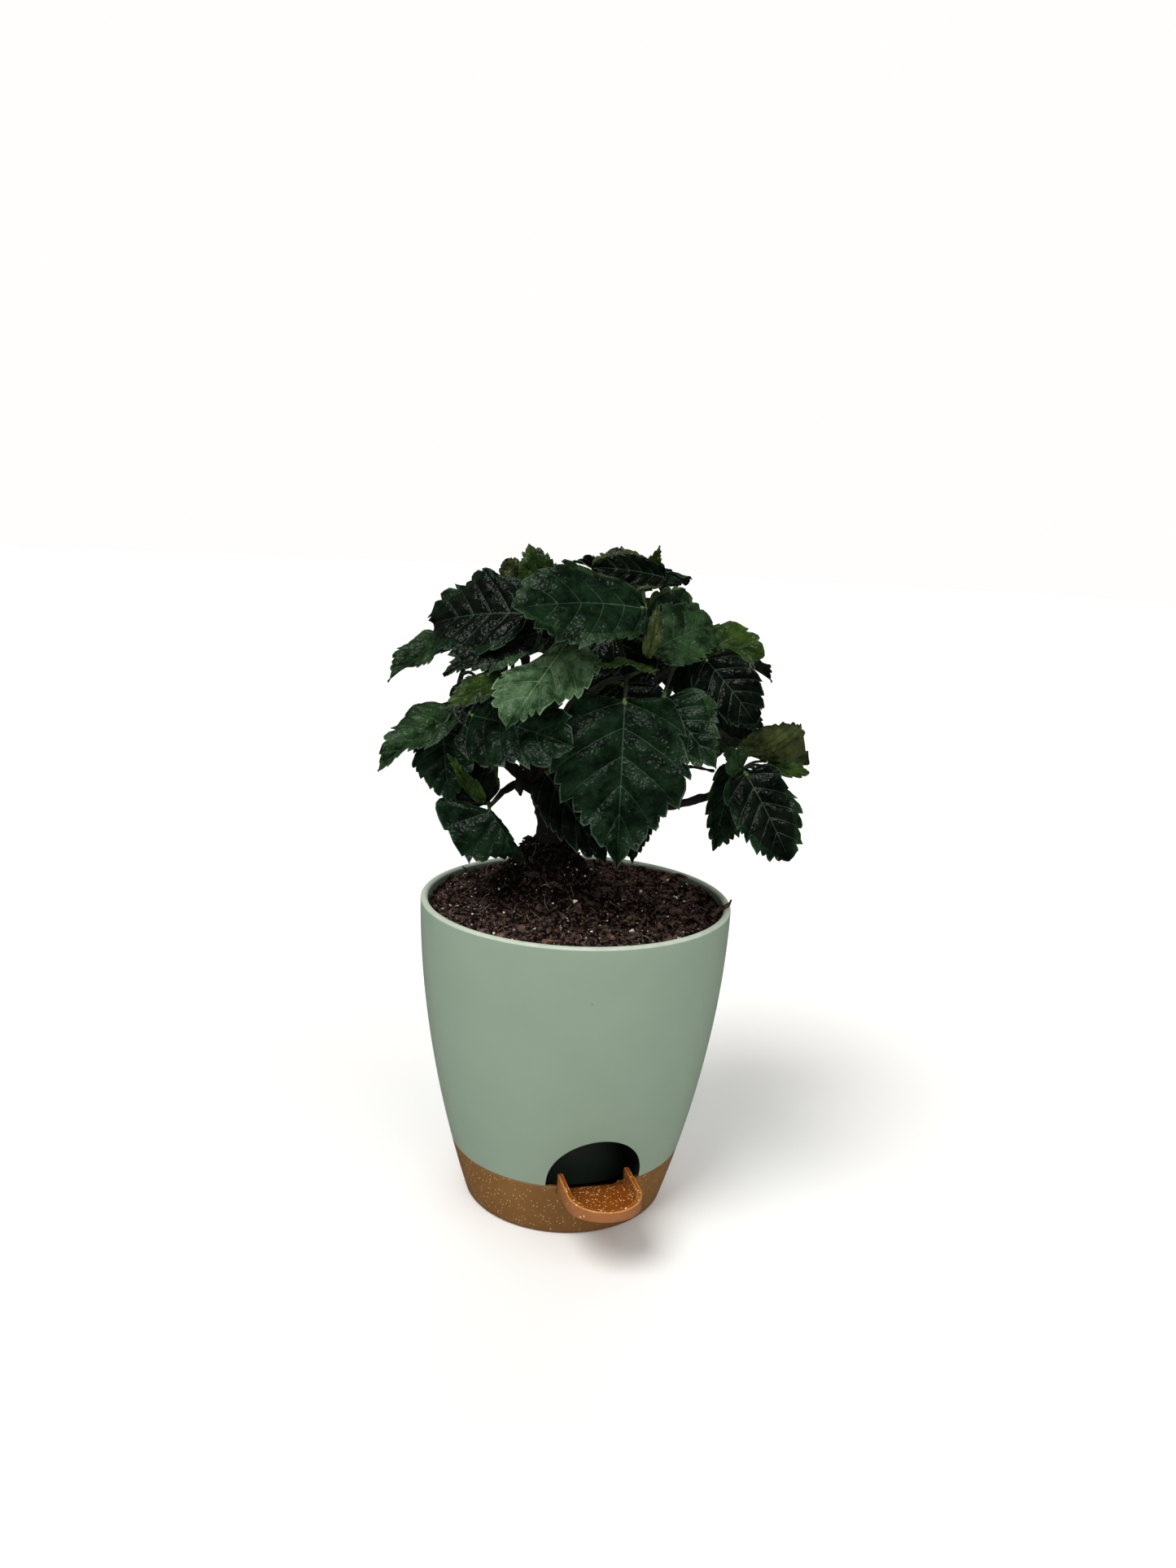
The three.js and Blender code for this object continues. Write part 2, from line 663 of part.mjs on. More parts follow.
// Grows the plant: the stem, then each bough cut clear of what is there, then each mass
function growPlant() {
  const plant = new THREE.Group();
  plant.rotation.z = plantTurn;
  const trunk = { ...stem, sides: 10, steps: 7 };
  plant.add(meshOf("stem", limb(stem.through, trunk).solid, barkBrown));
  let standing = limb(stem.through, trunk, seat).solid;
  const lines = {};
  for (const [name, bough] of Object.entries(boughs)) {
    const made = limb(bough.through, bough);
    lines[name] = made.line;
    plant.add(meshOf(name, largestPiece(made.solid.subtract(standing)), barkBrown));
    standing = standing.add(limb(bough.through, bough, seat).solid);
  }
  for (const [name, mass] of Object.entries(foliage)) {
    const grown = growFoliage(mass, lines[mass.bough], standing);
    plant.add(meshOf(name, grown, leafGreen));
    standing = standing.add(grown);
  }
  return plant;
}

const hibiscus = new THREE.Group();
hibiscus.add(
  meshOf("water_tray", waterTray(), bronzePlastic),
  meshOf("fill_spout", fillSpout(), caramelPlastic),
  meshOf("pot", potShell(), sagePlastic),
  meshOf("compost", compost(), compostBrown),
  growPlant(),
);

export default hibiscus;
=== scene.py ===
# %% [markdown]
# # A potted hibiscus, cell by cell
# The CAD frame already says where the planter, the stem, the boughs and the masses of
# foliage stand. This lesson dresses them: smooth mouldings for the planter, crumbly
# compost, rough bark, and leaves that each have their own teeth and veins.
# Every length of the plant is in millimetres and becomes metres at the last step, because
# the numbers are then the ones a gardener or a mould maker would use.

import math

import bmesh
import bpy
from mathutils import Matrix, Vector, noise
from mathutils.bvhtree import BVHTree


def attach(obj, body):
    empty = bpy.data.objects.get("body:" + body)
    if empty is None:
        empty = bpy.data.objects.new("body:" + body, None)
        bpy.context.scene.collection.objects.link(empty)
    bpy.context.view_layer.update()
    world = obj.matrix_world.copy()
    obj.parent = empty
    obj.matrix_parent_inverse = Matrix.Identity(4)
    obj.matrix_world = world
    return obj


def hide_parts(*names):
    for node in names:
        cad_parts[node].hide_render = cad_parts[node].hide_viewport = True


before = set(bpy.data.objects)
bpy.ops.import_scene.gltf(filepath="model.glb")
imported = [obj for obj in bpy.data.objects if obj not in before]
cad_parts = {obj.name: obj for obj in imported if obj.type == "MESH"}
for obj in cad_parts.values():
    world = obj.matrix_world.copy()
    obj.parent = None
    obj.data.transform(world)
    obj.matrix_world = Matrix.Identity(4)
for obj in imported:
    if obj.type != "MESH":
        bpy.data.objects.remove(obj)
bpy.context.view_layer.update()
MM = 0.001
print("CAD nodes:", len(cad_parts))

# %% [markdown]
# ## Small helpers
# Colours are written as the sRGB hex values that a paint program shows. Blender's shaders
# work in linear light, so one function turns them over. Another adds a node with its
# settings and its inputs, which keeps each material to a few readable lines.
# Every pattern reads Object coordinates. Finished pieces all sit at the origin, so these
# are the same lengths as on the real plant, and a pattern's scale comes from a real size.

# %% Colour and node helpers
def linear(hex_colour):
    """An sRGB hex value as the linear colour that a shader takes."""
    shares = [int(hex_colour[i:i + 2], 16) / 255 for i in (1, 3, 5)]
    return (*[c / 12.92 if c <= 0.04045 else ((c + 0.055) / 1.055) ** 2.4 for c in shares], 1.0)


def add_node(tree, kind, settings=None, inputs=None):
    """A node with its settings; an input is a constant, or a socket to link from."""
    made = tree.nodes.new(kind)
    for name, value in (settings or {}).items():
        setattr(made, name, value)
    for socket, value in (inputs or {}).items():
        if isinstance(value, bpy.types.NodeSocket):
            tree.links.new(value, made.inputs[socket])
        else:
            made.inputs[socket].default_value = value
    return made


def new_material(name, **constants):
    """A material with one Principled shader. Its constant values go straight on the sockets."""
    material = bpy.data.materials.new(name)
    material.use_nodes = True
    tree = material.node_tree
    tree.nodes.clear()
    shader = add_node(tree, "ShaderNodeBsdfPrincipled", inputs=constants)
    add_node(tree, "ShaderNodeOutputMaterial", inputs={"Surface": shader.outputs["BSDF"]})
    place = add_node(tree, "ShaderNodeTexCoord").outputs["Object"]
    print("material:", name)
    return material, tree, shader, place


# The Mix node has an A, a B and a Result for each kind of value; these are the colour ones
MIX_A, MIX_B, MIX_RESULT = 6, 7, 2


def per_mm(size):
    """The scale of a texture whose features are this many millimetres apart."""
    return 1 / (size * MM)


# %% Mesh helpers
def to_object(name, bm, materials=()):
    """Turns a bmesh into an object of the scene, and frees it."""
    mesh = bpy.data.meshes.new(name)
    bm.to_mesh(mesh)
    bm.free()
    for material in materials:
        mesh.materials.append(material)
    made = bpy.data.objects.new(name, mesh)
    bpy.context.scene.collection.objects.link(made)
    return made


def new_piece(name, bm, materials, replaces=(), smooth_below=40):
    """Turns a bmesh in millimetres into a finished piece on the root body."""
    bmesh.ops.scale(bm, vec=(MM, MM, MM), verts=bm.verts)
    piece = to_object(name, bm, materials)
    piece.data.shade_smooth()
    if smooth_below:
        piece.data.set_sharp_from_angle(angle=math.radians(smooth_below))
    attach(piece, "root")
    if replaces:
        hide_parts(*replaces)
    print(f"{name}: {sum(len(p.vertices) - 2 for p in piece.data.polygons)} triangles")
    return piece


def gather(bm, part):
    """Adds a small finished bmesh to a large one. Small ones are much quicker to work on."""
    mesh = bpy.data.meshes.new("part")
    part.to_mesh(mesh)
    part.free()
    bm.from_mesh(mesh)
    bpy.data.meshes.remove(mesh)


def combine(bm, tool, how):
    """Joins or cuts one bmesh by another with the exact Boolean, and frees them both."""
    objects = [to_object("part", part) for part in (bm, tool)]
    modifier = objects[0].modifiers.new("cut", "BOOLEAN")
    modifier.operation = how
    modifier.solver = "EXACT"
    modifier.object = objects[1]
    evaluated = objects[0].evaluated_get(bpy.context.evaluated_depsgraph_get())
    made = bmesh.new()
    made.from_mesh(evaluated.to_mesh())
    evaluated.to_mesh_clear()
    for obj in objects:
        mesh = obj.data
        bpy.data.objects.remove(obj)
        bpy.data.meshes.remove(mesh)
    return made


def spin_profile(profile, steps=144):
    """A body of revolution from (radius, height) pairs; it is closed if both ends are on the axis."""
    bm = bmesh.new()
    corners = [bm.verts.new((radius, 0, height)) for radius, height in profile]
    sides = [bm.edges.new(pair) for pair in zip(corners, corners[1:])]
    bmesh.ops.spin(
        bm, geom=corners + sides, cent=(0, 0, 0), axis=(0, 0, 1),
        angle=math.tau, steps=steps, use_merge=True,
    )
    bmesh.ops.remove_doubles(bm, verts=bm.verts, dist=1e-4)
    bmesh.ops.recalc_face_normals(bm, faces=bm.faces)
    return bm


def extrude_outline(outline, height):
    """A prism from a flat outline of (x, y) points, standing on z = 0."""
    bm = bmesh.new()
    face = bm.faces.new([bm.verts.new((x, y, 0)) for x, y in outline])
    walls = bmesh.ops.extrude_face_region(bm, geom=[face])
    raised = [item for item in walls["geom"] if isinstance(item, bmesh.types.BMVert)]
    bmesh.ops.translate(bm, vec=(0, 0, height), verts=raised)
    bmesh.ops.recalc_face_normals(bm, faces=bm.faces)
    return bm


def arc(centre, radius, start, end, steps):
    """Points on an arc, with its angles in degrees."""
    angles = [math.radians(start + (end - start) * i / steps) for i in range(steps + 1)]
    return [(centre[0] + radius * math.cos(a), centre[1] + radius * math.sin(a)) for a in angles]


def seeded(seed):
    """The source's own repeatable stream of numbers from 0 to 1."""
    state = seed

    def draw():
        nonlocal state
        state = (state * 1664525 + 1013904223) % 2**32
        return state / 2**32

    return draw


# %% [markdown]
# ## Camera, floor and light
# The photograph looks a little down on the plant, from about half a metre, with the camera
# rolled by under three degrees. The plant's own frame faces that camera and is turned from
# the spout, so the camera is worked out there and then turned with it.
# The studio is plain: a pale floor, a pale backdrop all round and four wide soft suns, one
# of them from behind. Dark glossy leaves mirror what stands round them, and white walls
# would turn them grey. So the room itself is dim, neither the floor nor the backdrop shows
# in gloss, the backdrop lights nothing, and only the key light is mirrored, as if the other
# three were polarised.

# %% Camera
PLANT_TURN = math.radians(-15.4)
CAMERA_PLACE = Vector((2.9, -522.2, 304.9))
CAMERA_PITCH = math.radians(12.05)
CAMERA_ROLL = math.radians(2.81)
FOCAL_PIXELS = 1474
PHOTO_HEIGHT = 1927
SENSOR = 36

plant_frame = Matrix.Rotation(PLANT_TURN, 4, "Z")
ahead = Vector((0, math.cos(CAMERA_PITCH), -math.sin(CAMERA_PITCH)))
above = Vector((0, math.sin(CAMERA_PITCH), math.cos(CAMERA_PITCH)))
right = math.cos(CAMERA_ROLL) * Vector((1, 0, 0)) + math.sin(CAMERA_ROLL) * above
above = math.cos(CAMERA_ROLL) * above - math.sin(CAMERA_ROLL) * Vector((1, 0, 0))
facing = Matrix((right, above, -ahead)).transposed().to_4x4()

camera_data = bpy.data.cameras.new("camera")
camera_data.sensor_width = SENSOR
camera_data.lens = FOCAL_PIXELS / PHOTO_HEIGHT * SENSOR
camera = bpy.data.objects.new("camera", camera_data)
bpy.context.scene.collection.objects.link(camera)
camera.matrix_world = plant_frame @ Matrix.Translation(CAMERA_PLACE * MM) @ facing
bpy.context.scene.camera = camera
print("lens:", round(camera_data.lens, 2), "mm")

# %% Floor
FLOOR_RADIUS = 9  # metres, as the backdrop's
BACKDROP_RADIUS = 8.5

floor_material, tree, shader, place = new_material("matt_paper", Roughness=0.9)
shader.inputs["Base Color"].default_value = linear("#f2f1ee")
shader.inputs["Specular IOR Level"].default_value = 0.1
fibres = add_node(tree, "ShaderNodeTexNoise", inputs={"Vector": place, "Scale": per_mm(2)})
grain = add_node(tree, "ShaderNodeBump", inputs={
    "Height": fibres.outputs["Fac"], "Strength": 0.05, "Distance": 0.1 * MM,
})
tree.links.new(grain.outputs["Normal"], shader.inputs["Normal"])

bm = bmesh.new()
bmesh.ops.create_circle(bm, cap_ends=True, radius=FLOOR_RADIUS, segments=96)
floor = to_object("floor", bm, [floor_material])
floor.visible_glossy = False
print("floor:", 2 * FLOOR_RADIUS, "m across")

# %% Backdrop and lights
BACKDROP_TONE = "#fffefc"
ROOM_LIGHT = 0.08

backdrop_material = bpy.data.materials.new("pale_backdrop")
backdrop_material.use_nodes = True
tree = backdrop_material.node_tree
tree.nodes.clear()
glow = add_node(tree, "ShaderNodeEmission", inputs={"Color": linear(BACKDROP_TONE), "Strength": 1.0})
add_node(tree, "ShaderNodeOutputMaterial", inputs={"Surface": glow.outputs["Emission"]})

bm = bmesh.new()
bmesh.ops.create_uvsphere(bm, u_segments=48, v_segments=24, radius=BACKDROP_RADIUS)
dome = to_object("backdrop", bm, [backdrop_material])
dome.visible_diffuse = False
dome.visible_glossy = False
dome.visible_transmission = False
dome.visible_shadow = False

world = bpy.data.worlds.new("studio")
world.use_nodes = True
bpy.context.scene.world = world
room = world.node_tree.nodes["Background"]
room.inputs["Color"].default_value = (1, 1, 1, 1)
room.inputs["Strength"].default_value = ROOM_LIGHT


def soft_sun(name, towards, strength, width, mirrored=True):
    """A sun as wide as a softbox; towards points from the plant to the light."""
    light = bpy.data.lights.new(name, "SUN")
    light.energy = strength
    light.angle = math.radians(width)
    lamp = bpy.data.objects.new(name, light)
    lamp.rotation_euler = (plant_frame.to_3x3() @ Vector(towards)).to_track_quat("Z", "Y").to_euler()
    lamp.visible_glossy = mirrored
    bpy.context.scene.collection.objects.link(lamp)
    print("sun:", name, strength)


soft_sun("key", (-0.55, -0.62, 1.25), 2.4, 34)
soft_sun("fill", (0.75, -0.8, 0.75), 1.1, 60, mirrored=False)
soft_sun("sky", (0, -0.25, 1), 0.75, 150, mirrored=False)
soft_sun("back", (0.1, 1, 0.55), 1.0, 60, mirrored=False)
bpy.context.scene.view_settings.view_transform = "Standard"

# %% [markdown]
# ## The planter's plastics
# The pot is injection-moulded polypropylene, coloured right through and satin, with a few
# specks of soil dust on it. The tray is the same plastic filled with brown pigment and
# pale mineral specks, and the spout is clear caramel plastic full of glitter flakes.
# Specks have no fixed place, so a cell texture deals them out: only the cells whose random
# value is high become a speck. The real mineral specks and flakes are finer than the
# render can show, so they are drawn as coarse as they need to be.

# %% Plastics
GRIT_SPACING = 1.15  # millimetres between mineral specks, and between glitter flakes


def speckled(tree, place, colour, speck, spacing, share, radius):
    """A base colour with a speck in this share of its cells; radius is a share of the spacing."""
    cells = add_node(tree, "ShaderNodeTexVoronoi", inputs={"Vector": place, "Scale": per_mm(spacing)})
    lot = add_node(tree, "ShaderNodeSeparateColor", inputs={"Color": cells.outputs["Color"]})
    chosen = add_node(tree, "ShaderNodeMath", {"operation": "GREATER_THAN"}, {
        0: lot.outputs["Red"], 1: 1 - share,
    })
    near = add_node(tree, "ShaderNodeMapRange", inputs={
        "Value": cells.outputs["Distance"], "From Min": radius, "From Max": radius * 0.6,
    })
    shown = add_node(tree, "ShaderNodeMath", {"operation": "MULTIPLY"}, {
        0: chosen.outputs[0], 1: near.outputs["Result"],
    })
    mixed = add_node(tree, "ShaderNodeMix", {"data_type": "RGBA"}, {
        0: shown.outputs[0], MIX_A: colour, MIX_B: speck,
    })
    return mixed.outputs[MIX_RESULT]


def moulded_grain(tree, place, shader, size, strength):
    """The faint satin grain of a mould's surface."""
    noise_node = add_node(tree, "ShaderNodeTexNoise", inputs={
        "Vector": place, "Scale": per_mm(size), "Detail": 3,
    })
    bump = add_node(tree, "ShaderNodeBump", inputs={
        "Height": noise_node.outputs["Fac"], "Strength": strength, "Distance": 0.1 * MM,
    })
    tree.links.new(bump.outputs["Normal"], shader.inputs["Normal"])


def clouded(tree, place, dark, light, size):
    """Two close colours of plastic, clouded over this many millimetres."""
    clouds = add_node(tree, "ShaderNodeTexNoise", inputs={
        "Vector": place, "Scale": per_mm(size), "Detail": 4,
    })
    mixed = add_node(tree, "ShaderNodeMix", {"data_type": "RGBA"}, {
        0: clouds.outputs["Fac"], MIX_A: linear(dark), MIX_B: linear(light),
    })
    return mixed.outputs[MIX_RESULT]


# Satin polypropylene: a soft wide sheen, cloudy by a few per cent where it flowed
sage_plastic, tree, shader, place = new_material("sage_polypropylene", Roughness=0.42)
shader.inputs["Specular IOR Level"].default_value = 0.4
sage = clouded(tree, place, "#809380", "#8b9c8a", 34)
dusty = speckled(tree, place, sage, linear("#5d6a58"), 9, share=0.12, radius=0.055)
tree.links.new(dusty, shader.inputs["Base Color"])
moulded_grain(tree, place, shader, 0.8, 0.12)

# The lip, painted pale and chalky: a painted highlight along the rim
lip_highlight_plastic, tree, shader, place = new_material("sage_lip_painted_highlight", Roughness=0.6)
tree.links.new(clouded(tree, place, "#9fae99", "#c4cdbc", 6), shader.inputs["Base Color"])
moulded_grain(tree, place, shader, 0.8, 0.12)

# The same plastic inside the watering recess, painted dark: painted shade in the recess
recess_shade_plastic, tree, shader, place = new_material("recess_plastic_painted_shade", Roughness=0.5)
tree.links.new(clouded(tree, place, "#1f2a25", "#344139", 9), shader.inputs["Base Color"])
moulded_grain(tree, place, shader, 0.8, 0.12)

# Brown filled plastic: satin like the pot, and sprinkled with pale mineral specks
bronze_plastic, tree, shader, place = new_material("bronze_filled_plastic", Roughness=0.4)
shader.inputs["Specular IOR Level"].default_value = 0.45
bronze = clouded(tree, place, "#6f481c", "#875f2b", 24)
gritty = speckled(tree, place, bronze, linear("#dbb47c"), GRIT_SPACING, share=0.36, radius=0.28)
tree.links.new(gritty, shader.inputs["Base Color"])
moulded_grain(tree, place, shader, 0.6, 0.15)


def caramel(name, dark, light, share):
    """Glossy caramel plastic with this share of its cells holding a glitter flake."""
    material, tree, shader, place = new_material(name, Roughness=0.28)
    body = clouded(tree, place, dark, light, 6)
    flaked = speckled(tree, place, body, linear("#ffd9a0"), GRIT_SPACING, share, radius=0.36)
    tree.links.new(flaked, shader.inputs["Base Color"])
    moulded_grain(tree, place, shader, 0.5, 0.2)
    return material


# The flanks hold few flakes, the floor and the lip are full of them; the lip's paler colour is a
# painted highlight on its upward faces
caramel_plastic = caramel("caramel_plastic", "#8a5630", "#a1683c", 0.03)
glitter_plastic = caramel("caramel_glitter_floor", "#74390a", "#9a5418", 0.5)
spout_lip_highlight_plastic = caramel("caramel_glitter_lip_painted_highlight", "#ac6a30", "#cf9350", 0.4)

# %% [markdown]
# ## Pot
# Pot and tray share one mould line: a flank that curves in towards the foot. A half outline
# spun round the axis gives each of them, and the arched recess is then cut out of the pot
# with a Boolean, as a slide in the mould would leave it. The alternative, modelling the arch
# face by face, would not keep the round wall as true.

# %% The planter's named sizes
RIM_RADIUS = 70
FOOT_RADIUS = 46
PLANTER_HEIGHT = 141.6
FLANK_POWER = 1.87
WALL = 2.4
LIP_WIDTH = 3.2
TRAY_HEIGHT = 27
TRAY_FLOOR = 2.6
FOOT_CHAMFER = 1.2
SEAT = 0.3
COLLAR_DEPTH = 9
LIP_DROP = 1.6  # how far below the rim the round of the lip starts
POT_FLOOR = 30
ARCH_HALF_WIDTH = 21
ARCH_SPRING = 30.3
RECESS_BACK = 36
LINER = 1.8
EDGE_BREAK = 0.4  # the tray's upper edges are eased by this much
INNER_LIP_DROP = 5  # where the inside wall starts, below the rim
TUNNEL_START = 20  # the arch's cutting tool runs from here out past the flank
TUNNEL_LENGTH = 70
DRUM_HEIGHT = 80
print("rim", 2 * RIM_RADIUS, "mm across, planter", PLANTER_HEIGHT, "mm tall")


def flank(height):
    """The planter's outer radius at a height."""
    return RIM_RADIUS - (RIM_RADIUS - FOOT_RADIUS) * (1 - height / PLANTER_HEIGHT) ** FLANK_POWER


def flank_line(low, high, steps, inset=0.0):
    """Points up (or down) the flank, or inside it by an inset."""
    levels = [low + (high - low) * i / steps for i in range(steps + 1)]
    return [(flank(z) - inset, z) for z in levels]


def recess_space(grow):
    """The arched space of the recess, which ends at an upright round back wall."""
    half = ARCH_HALF_WIDTH + grow
    foot = TRAY_HEIGHT - COLLAR_DEPTH - 2
    outline = [(-half, foot), (half, foot), *arc((0, ARCH_SPRING), half, 0, 180, 64)]
    prism = extrude_outline(outline, TUNNEL_LENGTH)
    stand_up = Matrix.Rotation(math.radians(90), 4, "X")
    push = Matrix.Translation((0, -TUNNEL_START, 0))
    bmesh.ops.transform(prism, matrix=push @ stand_up, verts=prism.verts)
    back = RECESS_BACK - grow
    drum = spin_profile([(0, 0), (back, 0), (back, DRUM_HEIGHT), (0, DRUM_HEIGHT)])
    return combine(prism, drum, "DIFFERENCE")


# %% Pot
bottom = TRAY_HEIGHT + SEAT
collar_outer = flank(TRAY_HEIGHT) - WALL - SEAT
collar_foot = flank(TRAY_HEIGHT - COLLAR_DEPTH) - WALL - SEAT
lip_foot = PLANTER_HEIGHT - LIP_DROP
outside = flank_line(bottom, lip_foot, 20)
rim = arc((RIM_RADIUS - LIP_WIDTH / 2, lip_foot), LIP_WIDTH / 2, 0, 180, 10)
inside = flank_line(PLANTER_HEIGHT - INNER_LIP_DROP, POT_FLOOR, 14, WALL)
shell = spin_profile([
    (0, bottom), (collar_outer - WALL, bottom),
    (collar_foot - WALL, TRAY_HEIGHT - COLLAR_DEPTH), (collar_foot, TRAY_HEIGHT - COLLAR_DEPTH),
    (collar_outer, bottom), *outside, *rim[1:], *inside, (0, POT_FLOOR),
])
envelope = spin_profile([
    (0, TRAY_HEIGHT - COLLAR_DEPTH), (collar_foot, TRAY_HEIGHT - COLLAR_DEPTH),
    (collar_outer, bottom), *outside, (0, lip_foot),
])
lining = combine(recess_space(LINER), envelope, "INTERSECT")
pot = combine(combine(shell, lining, "UNION"), recess_space(0), "DIFFERENCE")
for face in pot.faces:
    middle = face.calc_center_median()
    # Faces deep inside the recess take its painted shade
    within = abs(middle.x) < ARCH_HALF_WIDTH + 0.1 and middle.y < 0
    low_inside = middle.z < ARCH_SPRING + ARCH_HALF_WIDTH + 0.1
    deep = math.hypot(middle.x, middle.y) < flank(middle.z) - 1.2
    # The top of the lip takes the painted highlight
    on_highlit_lip = middle.z > PLANTER_HEIGHT - 1.2
    face.material_index = 1 if within and low_inside and deep else 2 if on_highlit_lip else 0
new_piece("planter_pot", pot, [sage_plastic, recess_shade_plastic, lip_highlight_plastic], ["pot"], 30)

# %% [markdown]
# ## Tray and spout
# The tray is another turned body. The spout is a small open scoop that stands in a notch of
# the tray and leads water down behind its wall. It could be bent up from a sheet, but the
# real one is moulded, so a solid block with a half-round nose loses a sloped slab below and
# a channel above, and its sharp edges are then bevelled as a mould rounds them. The notch is
# the same block a hair wider, so the two never touch.

# %% Spout sizes
SPOUT_HALF_WIDTH = 16
SPOUT_REACH = 84
SPOUT_WALL = 2.4
SPOUT_RIM = 33
SPOUT_FLOOR_FRONT = 30.2
SPOUT_FLOOR_BACK = 25.6
SPOUT_FLOOR_THICKNESS = 1.8
SPOUT_ROOT = 50.3
SPOUT_FOOT = 15


def scoop_block(half, back, front, low, high):
    """A straight-sided block with a half-round nose that points along -Y."""
    nose = arc((0, -(front - half)), half, 180, 360, 48)
    block = extrude_outline([(half, -back), (-half, -back), *nose], high - low)
    bmesh.ops.translate(block, vec=(0, 0, low), verts=block.verts)
    return block


def sloped_slab(drop):
    """A deep slab whose top falls from the spout's lip to its root."""
    fall = (SPOUT_FLOOR_FRONT - SPOUT_FLOOR_BACK) / (SPOUT_REACH - SPOUT_ROOT)
    near, far = SPOUT_ROOT - 12, SPOUT_REACH + 6
    tops = [SPOUT_FLOOR_BACK + fall * (reach - SPOUT_ROOT) - drop for reach in (near, far)]
    side = [(near, tops[0] - 60), (far, tops[1] - 60), (far, tops[1]), (near, tops[0])]
    slab = extrude_outline(side, 80)
    bmesh.ops.translate(slab, vec=(0, 0, -40), verts=slab.verts)
    axes = Matrix(((0, -1, 0), (0, 0, 1), (-1, 0, 0))).transposed().to_4x4()
    bmesh.ops.transform(slab, matrix=axes, verts=slab.verts)
    return slab


def spout_body(grow):
    """The scoop without its channel, grown all round."""
    block = scoop_block(
        SPOUT_HALF_WIDTH + grow, SPOUT_ROOT - grow, SPOUT_REACH + grow, SPOUT_FOOT, SPOUT_RIM + grow,
    )
    return combine(block, sloped_slab(SPOUT_FLOOR_THICKNESS + grow), "DIFFERENCE")


# %% Tray
outside = flank_line(FOOT_CHAMFER, TRAY_HEIGHT - EDGE_BREAK, 10)
inside = flank_line(TRAY_HEIGHT - EDGE_BREAK, TRAY_FLOOR, 6, WALL)
tray = spin_profile([
    (0, 0), (FOOT_RADIUS - FOOT_CHAMFER, 0), (FOOT_RADIUS - 0.3, 0.35), *outside,
    (flank(TRAY_HEIGHT) - EDGE_BREAK, TRAY_HEIGHT),
    (flank(TRAY_HEIGHT) - WALL + EDGE_BREAK, TRAY_HEIGHT),
    *inside, (0, TRAY_FLOOR),
])
tray = combine(tray, spout_body(SEAT), "DIFFERENCE")
new_piece("planter_tray", tray, [bronze_plastic], ["water_tray"], 30)

# %% Spout
channel = scoop_block(
    SPOUT_HALF_WIDTH - SPOUT_WALL, SPOUT_ROOT - 6, SPOUT_REACH - SPOUT_WALL,
    SPOUT_FOOT, SPOUT_RIM + 9,
)
channel = combine(channel, sloped_slab(0), "DIFFERENCE")
spout = combine(spout_body(0), channel, "DIFFERENCE")
bmesh.ops.remove_doubles(spout, verts=spout.verts, dist=0.01)
sharp = [e for e in spout.edges if e.is_manifold and e.calc_face_angle() > math.radians(50)]
bmesh.ops.bevel(
    spout, geom=sharp, offset=0.55, segments=3, profile=0.5, affect="EDGES",
    material=-1, clamp_overlap=True,
)
for face in spout.faces:
    middle = face.calc_center_median()
    within = math.hypot(middle.x, min(0, middle.y + SPOUT_REACH - SPOUT_HALF_WIDTH))
    inside = within < SPOUT_HALF_WIDTH - SPOUT_WALL + 0.2
    # Upward faces outside the channel take the lip's painted highlight
    on_highlit_lip = face.normal.z > 0.3 and not inside
    face.material_index = 2 if on_highlit_lip else 1 if inside and middle.z > SPOUT_FLOOR_BACK else 0
spout_plastics = [caramel_plastic, glitter_plastic, spout_lip_highlight_plastic]
new_piece("planter_spout", spout, spout_plastics, ["fill_spout"], 35)

# %% [markdown]
# ## Compost
# Peat compost is a heap of crumbs with white perlite, bits of bark and fine roots in it.
# A flat disc with a bump texture would look painted, so the surface is a fine round grid
# lifted by noise, and the crumbs and grains are small solids strewn over it. There are
# thousands of them, so each is an icosphere of only twenty faces.

# %% Compost sizes and level
COMPOST_EDGE = 136.5
MOUND_HEIGHT = 34
MOUND_SPREAD = 18
MOUND_CENTRE = Vector((-14, 4))
STEM_SEAT = 166
BACK_RISE = 4.0  # the compost lies higher towards the back
COMPOST_RADIUS = flank(COMPOST_EDGE) - WALL - 0.5
SETTLED = 0.6  # how far the crumbs' mean level has sunk
SKIRT_DEPTH = 12  # how far the bed's edge reaches down inside the pot
SHADE_REACH = 18  # from the middle of the mound
SHADE_FADE_END = 52
SHADE_SHARE = 0.2  # what is left of the pale colour in the painted shade round the stem


def compost_level(x, y):
    """Height of the compost at a place in the plant's frame."""
    away = math.hypot(x - MOUND_CENTRE.x, y - MOUND_CENTRE.y)
    mound = MOUND_HEIGHT * math.exp(-((away / MOUND_SPREAD) ** 2) / 1.6)
    waves = 0.9 * math.sin(x * 0.31 + 1.1) * math.cos(y * 0.27 - 0.4)
    slope = BACK_RISE * max(0.0, y / COMPOST_RADIUS)
    lumps = 1.6 * noise.noise((x / 7, y / 7, 3)) + 1.6 * noise.noise((x / 2, y / 2, 8))
    return min(COMPOST_EDGE + mound + waves + slope, STEM_SEAT) + lumps - SETTLED


def crown_shade_share(tree, place, amount):
    """Painted shade: the peat is darkened round the stem's foot, under the crown, and lightens towards
    the rim.
    """
    foot = plant_frame @ Vector((*MOUND_CENTRE, COMPOST_EDGE + MOUND_HEIGHT / 2)) * MM
    away = add_node(tree, "ShaderNodeVectorMath", {"operation": "DISTANCE"}, {0: place, 1: foot})
    out_of_shade = add_node(tree, "ShaderNodeMapRange", inputs={
        "Value": away.outputs["Value"], "From Min": SHADE_REACH * MM, "From Max": SHADE_FADE_END * MM,
        "To Min": SHADE_SHARE, "To Max": 1.0,
    })
    share = add_node(tree, "ShaderNodeMath", {"operation": "MULTIPLY"}, {
        0: out_of_shade.outputs["Result"], 1: amount,
    })
    return share.outputs[0]


